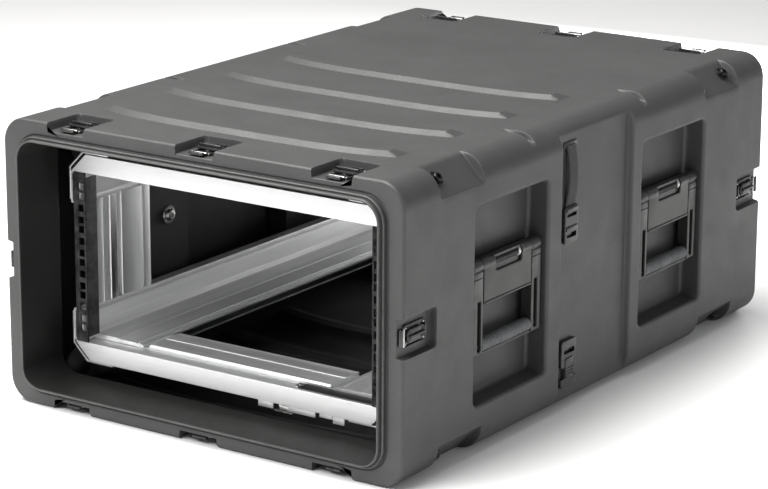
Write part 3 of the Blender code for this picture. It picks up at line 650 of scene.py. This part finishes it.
# the throat and the inside are left smoother by the mould than the outside; their darker colour is painted shade,
# where little light gets into the case
painted_shade_row = np.zeros(n_rows, bool)
painted_shade_row[len(outer_ys) + END_ROWS - 12:len(rows) - (END_ROWS - 12) - 1] = True
shell_mesh.polygons.foreach_set("material_index", np.repeat(painted_shade_row, n_lines).astype(np.int32))
weighted = shell.modifiers.new("even_shading", "WEIGHTED_NORMAL")
weighted.weight = 80
weighted.keep_sharp = True
print("shell grid", n_rows, "x", n_lines, "=", len(quads))


# --------------------------------------------------------------- inner frame
BAR_X, BAR_CUT, BAR_OUT, BAR_IN = 0.2466, 0.0235, 0.1396, 0.1146
for sy, end in ENDS:
    for sz, level in LEVELS:
        node = f"crossbar_{end}_{level}"

        def at(y, z):
            return (sy * y, MID + sz * z)

        # front strip with a lip at its inner front edge and a shallow channel
        outline = [at(0.310, BAR_IN), at(0.3745, BAR_IN), at(0.3745, BAR_IN + 0.0006),
                   at(0.3955, BAR_IN + 0.0006), at(0.3962, BAR_IN), at(0.400, BAR_IN),
                   at(0.400, 0.1161), at(0.400, BAR_OUT), at(0.310, BAR_OUT), at(0.310, 0.1161)]
        radii = [0.0005, 0, 0, 0.0003, 0.0003, 0.0009, 0, 0.0009, 0.0009, 0]
        holes = [[at(a, BAR_IN + 0.0028), at(b, BAR_IN + 0.0028), at(b, BAR_OUT - 0.0025), at(a, BAR_OUT - 0.0025)]
                 for a, b in ((0.313, 0.3535), (0.3565, 0.397))]
        bm = bmesh.new()
        extrusion(bm, rounded(outline, radii), holes, 0, -BAR_X, BAR_X,
                  ends=lambda p: max(0.0, sz * (p[1] - MID) - 0.1161))
        deck = [at(0.3105, BAR_IN + 0.0004), at(0.3105, 0.1094), at(0.3395, 0.1094), at(0.3400, 0.1100),
                at(0.3412, 0.1100), at(0.3417, 0.1094), at(0.3722, 0.1094), at(0.3745, 0.1120),
                at(0.3745, BAR_IN + 0.0004)]
        extrusion(bm, rounded(deck, [0, 0.0006, 0.0003, 0, 0, 0.0003, 0.0006, 0.0004, 0], 2), [], 0,
                  -0.1440, 0.1440)
        link(node + "_look", to_mesh(node, bm, 28, fix=False), ALU_X, "case", node)

LEG_Z = 0.1143
for sz, level in LEVELS:
    for sx, hand in HANDS:
        node = f"side_rail_{level}_{hand}"

        def at(x, z):
            return (sx * x, MID + sz * z)

        top = LEG_Z - 0.0062
        outline = [
            at(0.1520, LEG_Z), at(0.2333, LEG_Z), at(0.2333, top - 0.0035), at(0.2298, top),
            at(0.1945, top + 0.0004), at(0.1938, top + 0.0012), at(0.1630, top + 0.0012),
            at(0.1624, top + 0.0026), at(0.1612, top + 0.0026), at(0.1606, top + 0.0010),
            at(0.1570, top + 0.0010), at(0.1560, top + 0.0022), at(0.1520, top + 0.0022),
        ]
        radii = [0.0005, 0, 0, 0.0008, 0.0004, 0.0003, 0.0003, 0, 0, 0.0003, 0.0003, 0.0003, 0.0005]
        web = [
            at(0.2332, LEG_Z), at(0.2507, LEG_Z), at(0.2507, 0.0715), at(0.2350, 0.0715),
            at(0.2350, 0.0775), at(0.2358, 0.0780), at(0.2358, 0.0790), at(0.2350, 0.0795),
            at(0.2350, top - 0.0052), at(0.2332, top - 0.0034),
        ]
        web_radii = [0, 0.0008, 0.0008, 0.0008, 0.0003, 0, 0, 0.0003, 0.0004, 0]
        hole = [at(0.2375, 0.0740), at(0.2482, 0.0740), at(0.2482, 0.1113), at(0.2375, 0.1113)]
        bm = bmesh.new()
        extrusion(bm, rounded(outline, radii, 2), [], 1, -0.3774, 0.3774)
        extrusion(bm, rounded(web, web_radii, 2), [hole], 1, -0.398, 0.398)
        link(node + "_look", to_mesh(node, bm, 28, fix=False), ALU_Y_LIGHTENED, "case", node)

for sy, end in ENDS:
    for sx, hand in HANDS:
        node = f"upright_{end}_{hand}"

        def at(x, y):
            return (sx * x, sy * y)

        outline = [
            at(0.2350, 0.2560), at(0.2497, 0.2560), at(0.2497, 0.3700), at(0.2350, 0.3700),
            at(0.2350, 0.3560), at(0.2356, 0.3555), at(0.2356, 0.3545), at(0.2350, 0.3540),
            at(0.2350, 0.3255), at(0.2372, 0.3245), at(0.2372, 0.3270), at(0.2410, 0.3270),
            at(0.2410, 0.3140), at(0.2372, 0.3140), at(0.2372, 0.3165), at(0.2350, 0.3155),
            at(0.2350, 0.2740), at(0.2356, 0.2735), at(0.2356, 0.2725), at(0.2350, 0.2720),
        ]
        radii = [0.0010, 0.0010, 0.0010, 0.0010] + [0.0003] * 4 + [0.0004, 0.0003, 0.0003, 0.0003,
                 0.0003, 0.0003, 0.0003, 0.0004] + [0.0003] * 4
        holes = [[at(0.2380, 0.2590), at(0.2467, 0.2590), at(0.2467, 0.3110), at(0.2380, 0.3110)],
                 [at(0.2380, 0.3300), at(0.2467, 0.3300), at(0.2467, 0.3670), at(0.2380, 0.3670)]]
        bm = bmesh.new()
        extrusion(bm, rounded(outline, radii, 2), holes, 2, MID - 0.0712, MID + 0.0712)
        link(node + "_look", to_mesh(node, bm, 28, fix=False), ALU_Z, "case", node)
        bm = bmesh.new()
        extrusion(bm, rounded([at(0.2351, 0.3262), at(0.2349, 0.3262), at(0.2338, 0.3400), at(0.2351, 0.3400)],
                              [0, 0, 0.0003, 0], 2), [], 2, MID - 0.0708, MID + 0.0708)
        link(f"upright_strip_{end}_{hand}", to_mesh("upright_strip", bm, 28), STRIP, "case", ())
        refined(f"rack_rail_{end}_{hand}", 0.00035, RACK)

for sz, level in LEVELS:
    for sx, hand in HANDS:
        refined(f"corner_plate_{level}_{hand}", 0.0006, PLATE)


# -------------------------------------------------------------- shock mounts
FLAT_SUM, PLATE_SUM, PLATE_T = 0.4655, 0.3735, 0.0028
SPAN = (FLAT_SUM - PLATE_SUM) / math.sqrt(2)


def mount_frame(sx, sy, sz):
    way = Vector((sx, 0, sz)).normalized()
    side = Vector((sx, 0, -sz)).normalized()
    across = way.cross(side)
    spot = way * (FLAT_SUM / math.sqrt(2)) + side * 0.082 + Vector((0, sy * 0.3636, MID))
    turn = Matrix((side, across, way)).transposed()
    return Matrix.Translation(spot) @ turn.to_4x4()


bm = bmesh.new()
lathe(bm, [(0.0048, 0.0004), (0.0095, 0.0004), (0.0102, 0.0009), (0.0102, 0.0016), (0.0096, 0.0022),
           (0.0060, 0.0022), (0.0048, 0.0020)], 40, closed=True)
lathe(bm, [(0, 0.0044), (0.0026, 0.0044), (0.0030, 0.0070), (0.0034, 0.0072), (0.0052, 0.0071), (0.0062, 0.0060),
           (0.0066, 0.0024), (0.0064, 0.0021), (0, 0.0021)], 40)
mount_bolt = to_mesh("mount_bolt", bm)
bm = bmesh.new()
lathe(bm, [(0, -0.0058), (0.0150, -0.0058), (0.0158, -0.0066), (0.0158, -0.0090), (0.0190, -0.0118),
           (0.0192, -0.0200), (0.0165, -0.0265), (0.0150, -SPAN / 2 - 0.002), (0.0165, -0.0440),
           (0.0192, -0.0500), (0.0190, -SPAN + 0.0075), (0.0158, -SPAN + 0.0045), (0.0158, -SPAN + 0.0012),
           (0.0150, -SPAN + 0.0003), (0, -SPAN + 0.0003)], 40)
mount_rubber = to_mesh("mount_rubber", bm)
bm = bmesh.new()
low = -SPAN - PLATE_T - 0.0003
lathe(bm, [(0, low), (0.0066, low), (0.0068, low - 0.0004), (0.0068, low - 0.0010), (0, low - 0.0010)], 32)
lathe(bm, [(0, low - 0.0008), (0.0058, low - 0.0008), (0.0060, low - 0.0012), (0.0056, low - 0.0034), (0, low - 0.0035)], 6)
mount_nut = to_mesh("mount_nut", bm)
for sy, end in ENDS:
    for sz, level in LEVELS:
        for sx, hand in HANDS:
            tag = f"{end}_{level}_{hand}"
            place = mount_frame(sx, sy, sz)
            link(f"mount_rubber_{tag}", moved(mount_rubber, place, f"mount_rubber_{tag}"), RUBBER, "case",
                 f"shock_mount_{tag}")
            link(f"mount_bolt_{tag}", moved(mount_bolt, place, f"mount_bolt_{tag}"), BOLT, "case")
            link(f"mount_nut_{tag}", moved(mount_nut, place, f"mount_nut_{tag}"), STEEL, "case")


# ------------------------------------------------------------------- handles
FLOOR = 0.280 - 0.2955
POCKET_Y = {-1: -0.215, 1: 0.198}
bm = bmesh.new()
rod(bm, 0.0090, -0.0574, 0.0574, 0.0012, 48, ALONG_Y)
bracket = to_mesh("bracket_a", bm)
bm = bmesh.new()
rbox(bm, (0.0006, -0.0555, -0.0500), (0.0083, 0.0555, -0.0010), 0.0010, 3, 0.003, 0)
bracket = boolean(bracket, to_mesh("bracket_b", bm), "UNION")
bm = bmesh.new()
rbox(bm, (FLOOR + 0.0003, -0.0500, -0.0440), (0.0040, 0.0500, -0.0020), 0.0006)
bracket = boolean(bracket, to_mesh("bracket_c", bm), "UNION")
bm = bmesh.new()
rbox(bm, (0.0060, -0.0545, -0.0498), (0.0096, 0.0545, -0.0462), 0.0014, 3)
bracket = boolean(bracket, to_mesh("bracket_e", bm), "UNION")
bm = bmesh.new()
rbox(bm, (0.0050, -0.0290, -0.0125), (0.0200, 0.0320, 0.0200), 0, 1, 0.004, 0, 5)
bracket = boolean(bracket, to_mesh("bracket_d", bm))
bm = bmesh.new()
rbox(bm, (0.0079, -0.0302, -0.0137), (0.0200, 0.0332, 0.0200), 0, 1, 0.005, 0, 5)
bracket = boolean(bracket, to_mesh("bracket_f", bm))
smooth(bracket)
bm = bmesh.new()
core = [(0, -0.0288), (0.0050, -0.0288)]
for k in range(27):
    z = -0.0278 + 0.0020 * k
    core += [(0.0063, z), (0.0069, z + 0.0006), (0.0069, z + 0.0011), (0.0063, z + 0.0017)]
core += [(0.0050, 0.0262), (0, 0.0262)]
lathe(bm, core, 32, ALONG_Y)
spring = to_mesh("spring", bm)
bm = bmesh.new()
lathe(bm, [(0.0032, 0.0266), (0.0072, 0.0266), (0.0080, 0.0270), (0.0083, 0.0278), (0.0083, 0.0300),
           (0.0078, 0.0306), (0.0032, 0.0306)], 40, ALONG_Y, closed=True)
collar = to_mesh("collar", bm)

ARM_IN, ARM_OUT, ARM_LEN = 0.0578, 0.0785, 0.104
bail = None
for s in (-1, 1):
    y0, y1 = sorted((s * ARM_IN, s * ARM_OUT))
    bm = bmesh.new()
    rbox(bm, (-0.0080, y0, -0.1150), (0.0082, y1, -0.0035), 0.0012, 3, 0.004, 1)
    arm = to_mesh("arm", bm)
    bm = bmesh.new()
    rod(bm, 0.0090, y0 + 0.0001, y1 - 0.0001, 0.0014, 48, ALONG_Y)
    arm = boolean(arm, to_mesh("eye", bm), "UNION")
    for x, y_in, y_out, z0, z1, corner in (
            (0.0010, 0.0632, 0.0698, -0.1088, -0.0442, 0.0020), (0.0074, 0.0621, 0.0709, -0.1100, -0.0430, 0.0028)):
        bm = bmesh.new()
        ya, yb = sorted((s * y_in, s * y_out))
        rbox(bm, (x, ya, z0), (0.0200, yb, z1), 0, 1, corner, 0, 4)
        arm = boolean(arm, to_mesh("slot", bm))
    bm = bmesh.new()
    rbox(bm, (0.0064, y0 - 0.002, -0.0150), (0.0200, y1 + 0.002, -0.0137))
    arm = boolean(arm, to_mesh("gap", bm))
    bail = arm if bail is None else boolean(bail, arm, "UNION")
bm = bmesh.new()
rod(bm, 0.0030, -0.0740, 0.0740, 0.0003, 20, ALONG_Y)
bail = boolean(bail, to_mesh("pin", bm), "UNION")
bm = bmesh.new()
rod(bm, 0.0050, -0.0740, 0.0740, 0.0003, 20, Matrix.Translation((0, 0, -ARM_LEN)) @ ALONG_Y)
bail = boolean(bail, to_mesh("core", bm), "UNION")
bm = bmesh.new()
rbox(bm, (-0.0030, -0.0620, -0.1148), (0.0062, 0.0620, -0.1138 + 0.0026), 0.0008, 2)
bail = boolean(bail, to_mesh("foot", bm), "UNION")
smooth(bail)
grip_outer = []
steps = 150
for k in range(steps + 1):
    y = -0.0572 + 0.1144 * k / steps
    r = 0.0092 - 0.0007 * (abs(y) / 0.0572) ** 6
    for c in (0.0150, 0.0225, 0.0300, 0.0375, 0.0450):
        d = abs(abs(y) - c) / 0.0028
        if d < 1:
            r -= 0.0017 * (0.5 + 0.5 * math.cos(math.pi * d))
    grip_outer.append((r, y))
bm = bmesh.new()
lathe(bm, [(0.0054, -0.0574)] + [(0.0078, -0.0574)] + grip_outer + [(0.0078, 0.0574), (0.0054, 0.0574)], 40,
      Matrix.Translation((0, 0, -ARM_LEN)) @ ALONG_Y, closed=True)
grip = to_mesh("grip", bm, 60)

for sy, end in ENDS:
    for sx, hand in HANDS:
        tag = f"{end}_{hand}"
        place = (Matrix.Translation((sx * 0.2955, POCKET_Y[sy], 0.238))
                 @ Matrix.Rotation(0.0 if sx > 0 else math.pi, 4, "Z"))
        link(f"bracket_{tag}", moved(bracket, place, f"bracket_{tag}"), HANDLE, "case",
             f"handle_bracket_{tag}")
        link(f"spring_{tag}", moved(spring, place, f"spring_{tag}"), BOLT, "case")
        link(f"collar_{tag}", moved(collar, place, f"collar_{tag}"), STEEL, "case")
        link(f"bail_{tag}", moved(bail, place, f"bail_{tag}"), HANDLE, f"handle_{tag}",
             f"handle_bail_{tag}")
        link(f"grip_{tag}", moved(grip, place, f"grip_{tag}"), GRIP, f"handle_{tag}",
             f"handle_grip_{tag}")


# ------------------------------------------------------------- twist latches
bm = bmesh.new()
lathe(bm, [(0, 0.0003), (0.0082, 0.0003), (0.0085, 0.0006), (0.0085, 0.0032), (0.0078, 0.0040), (0, 0.0040)], 40)
rbox(bm, (-0.0185, -0.0085, 0.0036), (0.0185, 0.0085, 0.0061), 0.0008, 2, 0.0055, 2, 5)
rbox(bm, (-0.0165, -0.0016, 0.0052), (0.0165, 0.0016, 0.0096), 0.0011, 3)
for s in (-1, 1):
    for k in range(3):
        x = s * (0.0120 + 0.0022 * k)
        rbox(bm, (x - 0.0005, -0.0062, 0.0056), (x + 0.0005, 0.0062, 0.0067), 0.0003, 1)
wing = to_mesh("wing", bm)
bm = bmesh.new()                                  # fixed base; +Y points to the rim
rbox(bm, (-0.0145, -0.0250, 0.0002), (0.0145, 0.0215, 0.0013), 0.0004, 2, 0.0035, 2, 4)
for s in (-1, 1):
    x0, x1 = sorted((s * 0.0123, s * 0.0142))
    rbox(bm, (x0, -0.0205, 0.0010), (x1, 0.0205, 0.0032), 0.0006, 2)
rbox(bm, (-0.0100, 0.0100, 0.0013), (0.0100, 0.0268, 0.0029), 0.0005, 2)
rbox(bm, (-0.0112, 0.0262, 0.0016), (0.0112, 0.0318, 0.0056), 0.0014, 3)
rbox(bm, (-0.0080, -0.0240, 0.0012), (0.0080, -0.0205, 0.0050), 0.0010, 2)
base = to_mesh("base", bm)
bm = bmesh.new()
rod(bm, 0.0014, -0.0118, 0.0118, 0.0005, 16, Matrix.Translation((0, 0.0235, 0.0036)) @ ALONG_X)
for x in (-0.0098, 0.0098):
    for y in (-0.0215, 0.0170):
        lathe(bm, [(0, 0.0012), (0.0019, 0.0012), (0.0019, 0.0018), (0.0015, 0.0025), (0.0007, 0.0028), (0, 0.0029)],
              20, Matrix.Translation((x, y, 0)))
rivets = to_mesh("rivets", bm)


def basis(across, rimward, out, spot):
    return Matrix.Translation(spot) @ Matrix((across, rimward, out)).transposed().to_4x4()


for sy, end in ENDS:
    for x, spot in ((-0.206, "left"), (0.0, "middle"), (0.206, "right")):
        for sz, level in LEVELS:
            tag = f"{end}_{level}_{spot}"
            z = 0.382 - 0.011 if sz > 0 else 0.011
            where = Vector((x, sy * 0.4255, z))
            turn = Matrix.Identity(4) if sz > 0 else Matrix.Rotation(math.pi, 4, "X")
            out, rimward = Vector((0, 0, sz)), Vector((0, sy, 0))
            place = basis(rimward.cross(out), rimward, out, where)
            link(f"wing_{tag}", moved(wing, Matrix.Translation(where) @ turn, f"wing_{tag}"), LATCH,
                 f"wing_{tag}", f"latch_wing_{tag}")
            link(f"latch_base_{tag}", moved(base, place, f"latch_base_{tag}"), LATCH, "case", ())
            link(f"latch_rivets_{tag}", moved(rivets, place, f"latch_rivets_{tag}"), STEEL, "case")
    for sx, hand in HANDS:
        tag = f"{end}_side_{hand}"
        where = Vector((sx * 0.300, sy * 0.4255, MID))
        turn = Matrix.Rotation(sx * math.pi / 2, 4, "Z") @ Matrix.Rotation(math.pi / 2, 4, "X")
        out, rimward = Vector((sx, 0, 0)), Vector((0, sy, 0))
        place = basis(rimward.cross(out), rimward, out, where)
        link(f"wing_{tag}", moved(wing, Matrix.Translation(where) @ turn, f"wing_{tag}"), LATCH,
             f"wing_{tag}", f"latch_wing_{tag}")
        link(f"latch_base_{tag}", moved(base, place, f"latch_base_{tag}"), LATCH, "case", ())
        link(f"latch_rivets_{tag}", moved(rivets, place, f"latch_rivets_{tag}"), STEEL, "case")


# ----------------------------------------------------------------- tie strap
BAND_X, STRAP_Y = 0.302, -0.067


def plain(low, high, radius=0.0006, corner=0.0, axis=0):
    bm = bmesh.new()
    rbox(bm, low, high, radius, 2, corner, axis, 4)
    return to_mesh("plain", bm)


# upper buckle: a tri-glide frame with two slots and two raised cross bars
buckle = plain((BAND_X + 0.0003, STRAP_Y - 0.0165, 0.222), (BAND_X + 0.0052, STRAP_Y + 0.0165, 0.272), 0.0012, 0.005)
for z0, z1 in ((0.2575, 0.2625), (0.2300, 0.2365)):
    buckle = boolean(buckle, plain((BAND_X + 0.0012, STRAP_Y - 0.0118, z0), (BAND_X + 0.02, STRAP_Y + 0.0118, z1), 0, 0.0015))
buckle = boolean(buckle, plain((BAND_X + 0.0030, STRAP_Y - 0.0140, 0.2640), (BAND_X + 0.0070, STRAP_Y + 0.0140, 0.2705), 0.0014), "UNION")
buckle = boolean(buckle, plain((BAND_X + 0.0030, STRAP_Y - 0.0140, 0.2390), (BAND_X + 0.0068, STRAP_Y + 0.0140, 0.2455), 0.0014), "UNION")
smooth(buckle)
link("upper_buckle", buckle, LATCH, "case", "strap_upper_buckle")

buckle = plain((BAND_X + 0.0003, STRAP_Y - 0.0190, 0.0270), (BAND_X + 0.0056, STRAP_Y + 0.0190, 0.0920), 0.0013, 0.005)
buckle = boolean(buckle, plain((BAND_X + 0.0014, STRAP_Y - 0.0130, 0.0735), (BAND_X + 0.02, STRAP_Y + 0.0130, 0.0800), 0, 0.0015))
for s in (-1, 1):
    ya, yb = sorted((STRAP_Y + s * 0.0110, STRAP_Y + s * 0.0230))
    buckle = boolean(buckle, plain((BAND_X - 0.001, ya if s > 0 else ya, 0.0400), (BAND_X + 0.02, yb, 0.0560), 0, 0.003))
buckle = boolean(buckle, plain((BAND_X + 0.0030, STRAP_Y - 0.0100, 0.0400), (BAND_X + 0.0071, STRAP_Y + 0.0100, 0.0680), 0.0016), "UNION")
for z in (0.0460, 0.0500, 0.0540):
    buckle = boolean(buckle, plain((BAND_X + 0.0064, STRAP_Y - 0.0080, z), (BAND_X + 0.0090, STRAP_Y + 0.0080, z + 0.0014), 0))
smooth(buckle)
link("lower_buckle", buckle, LATCH, "case", "strap_lower_buckle")


def webbing(name, path, half, thick, node=None):
    """A flat strap along a path of (x, z) points, its width along Y."""
    sections = []
    for i, (x, z) in enumerate(path):
        ax, az = path[max(i - 1, 0)]
        bx, bz = path[min(i + 1, len(path) - 1)]
        way = Vector((bx - ax, bz - az)).normalized()
        sections.append((Vector((x, z)), Vector((-way.y, way.x)) * (thick / 2)))
    bm = bmesh.new()
    spread = [-half, -half + 0.0008, -half * 0.55, 0.0, half * 0.55, half - 0.0008, half]
    fat = [0.35, 1.0, 1.0, 1.06, 1.0, 1.0, 0.35]
    loops = []
    for spot, off in sections:
        loop = [bm.verts.new((spot.x + off.x * f, STRAP_Y + w, spot.y + off.y * f)) for w, f in zip(spread, fat)]
        loop += [bm.verts.new((spot.x - off.x * f, STRAP_Y + w, spot.y - off.y * f))
                 for w, f in zip(reversed(spread), reversed(fat))]
        loops.append(loop)
    n = len(loops[0])
    for a, b in zip(loops, loops[1:]):
        for i in range(n):
            bm.faces.new((a[i], a[(i + 1) % n], b[(i + 1) % n], b[i]))
    bm.faces.new(loops[0])
    bm.faces.new(list(reversed(loops[-1])))
    return link(name, to_mesh(name, bm, 50), WEB, "case", node or ())


path = []
for i in range(31):
    t = i / 30
    bow = math.sin(math.pi * min(t / 0.92, 1.0)) ** 0.8 * 0.0052
    path.append((BAND_X + 0.0014 + bow, 0.3515 + (0.2650 - 0.3515) * t))
strap = webbing("strap", path, 0.0125, 0.0017, "strap_webbing")
# anchor slit at the top of the band
anchor = plain((BAND_X - 0.0004, STRAP_Y - 0.0165, 0.3475), (BAND_X + 0.0012, STRAP_Y + 0.0165, 0.3570), 0.0005, 0.003)
link("strap_anchor", anchor, LATCH, "case", ())


# ------------------------------------------------------------- small fittings
# clips and tabs under the lower front crossbar
bm = bmesh.new()
for x0, x1, drop in ((0.050, 0.0735, 0.0078), (0.0975, 0.1385, 0.0072), (0.1450, 0.1650, 0.0046), (0.1655, 0.1830, 0.0092)):
    rbox(bm, (x0, -0.3990, 0.0512 - drop), (x1, -0.3965, 0.0530), 0.0004, 2)
clips = to_mesh("bar_clips", bm)
link("bar_clips", clips, ALU_X, "case", ())
bm = bmesh.new()
rbox(bm, (0.0820, -0.3985, 0.0420), (0.0972, -0.3955, 0.0510), 0.0006, 2)
rbox(bm, (0.0735, -0.3980, 0.0410), (0.1020, -0.3700, 0.0424), 0.0004, 2)
link("bar_catch", to_mesh("bar_catch", bm), STEEL, "case")
# a dark pad in the front strip, with a spring clip at its end
bm = bmesh.new()
rbox(bm, (0.1080, -0.3935, 0.0762), (0.2200, -0.3760, 0.0772), 0.0003, 2)
link("bar_pad", to_mesh("bar_pad", bm), RUBBER, "case")
bm = bmesh.new()
rbox(bm, (0.1010, -0.3920, 0.0764), (0.1075, -0.3780, 0.0782), 0.0005, 2)
rbox(bm, (0.1030, -0.3880, 0.0778), (0.1120, -0.3820, 0.0794), 0.0006, 2)
link("bar_clip", to_mesh("bar_clip", bm), STEEL, "case")

# heads of the bolts that hold the handles, inside the shell
bm = bmesh.new()
lathe(bm, [(0, 0.0016), (0.0088, 0.0016), (0.0095, 0.0010), (0.0096, 0), (0, 0)], 36)
lathe(bm, [(0, 0.0026), (0.0021, 0.0026), (0.0025, 0.0046), (0.0029, 0.0048), (0.0050, 0.0044), (0.0060, 0.0026),
           (0.0062, 0.0014), (0, 0.0014)], 36)
inner_bolt = to_mesh("inner_bolt", bm)
for sy, end in ENDS:
    for sx, hand in HANDS:
        for dy, z in ((0.048, 0.192), (-0.030, 0.192), (0.048, 0.226), (-0.030, 0.226)):
            if z > 0.2:
                continue
            spot = Vector((sx * 0.2744, POCKET_Y[sy] + dy, z))
            out = Vector((-sx, 0, 0))
            place = basis(Vector((0, 1, 0)), out.cross(Vector((0, 1, 0))), out, spot) @ Matrix.Scale(1.35, 4)
            tag = f"inner_bolt_{end}_{hand}_{'a' if dy > 0 else 'b'}"
            link(tag, moved(inner_bolt, place, tag), STEEL, "case")

# the shape of a screw for the rack rails; no screw is placed
bm = bmesh.new()
lathe(bm, [(0, 0.0006), (0.0014, 0.0006), (0.0017, 0.0022), (0.0036, 0.0018), (0.0044, 0.0004), (0.0044, 0), (0, 0)], 28)
screw = to_mesh("screw", bm)

# --------------------------------------------------------------------- stage
bm = bmesh.new()
floor_size = 9.0
for x, y in ((-1, -1), (1, -1), (1, 1), (-1, 1)):
    bm.verts.new((x * floor_size, y * floor_size, -0.0004))
bm.faces.new(bm.verts)
floor_mesh = bpy.data.meshes.new("floor")
bm.to_mesh(floor_mesh)
bm.free()
mat, tree, shader, at = begin("floor_paper", 0.75, specular=0.2)
tree.links.new(ramp(tree, noise(tree, at, 3.0, 3.0), ((0.3, 0.95), (0.7, 0.97))), shader.inputs["Base Color"])
floor_mesh.materials.append(mat)
floor = bpy.data.objects.new("floor", floor_mesh)
SCENE.objects.link(floor)

world = bpy.data.worlds.new("studio")
bpy.context.scene.world = world
world.use_nodes = True
back = world.node_tree.nodes["Background"]
back.inputs["Color"].default_value = (1.0, 1.0, 1.0, 1)
back.inputs["Strength"].default_value = 0.30


def softbox(name, spot, target, size, power, colour=(1, 1, 1)):
    data = bpy.data.lights.new(name, "AREA")
    data.shape = "RECTANGLE"
    data.size, data.size_y = size
    data.energy = power
    data.color = colour
    obj = bpy.data.objects.new(name, data)
    SCENE.objects.link(obj)
    obj.location = spot
    obj.rotation_euler = (Vector(target) - Vector(spot)).to_track_quat("-Z", "Y").to_euler()
    return obj


softbox("key_top", (-0.7, -0.5, 2.8), (0, -0.1, 0.2), (2.2, 2.2), 134, (1.0, 0.99, 0.97))
softbox("front_left", (-0.45, -2.2, 2.3), (0, -0.4, 0.15), (1.3, 1.1), 62)
softbox("back_fill", (-0.2, 2.2, 0.24), (0, 0.1, 0.10), (1.2, 0.16), 34)
softbox("side_fill", (2.9, 0.2, 0.9), (0, -0.1, 0.2), (1.4, 1.0), 10, (0.97, 0.985, 1.0))

bpy.context.view_layer.update()
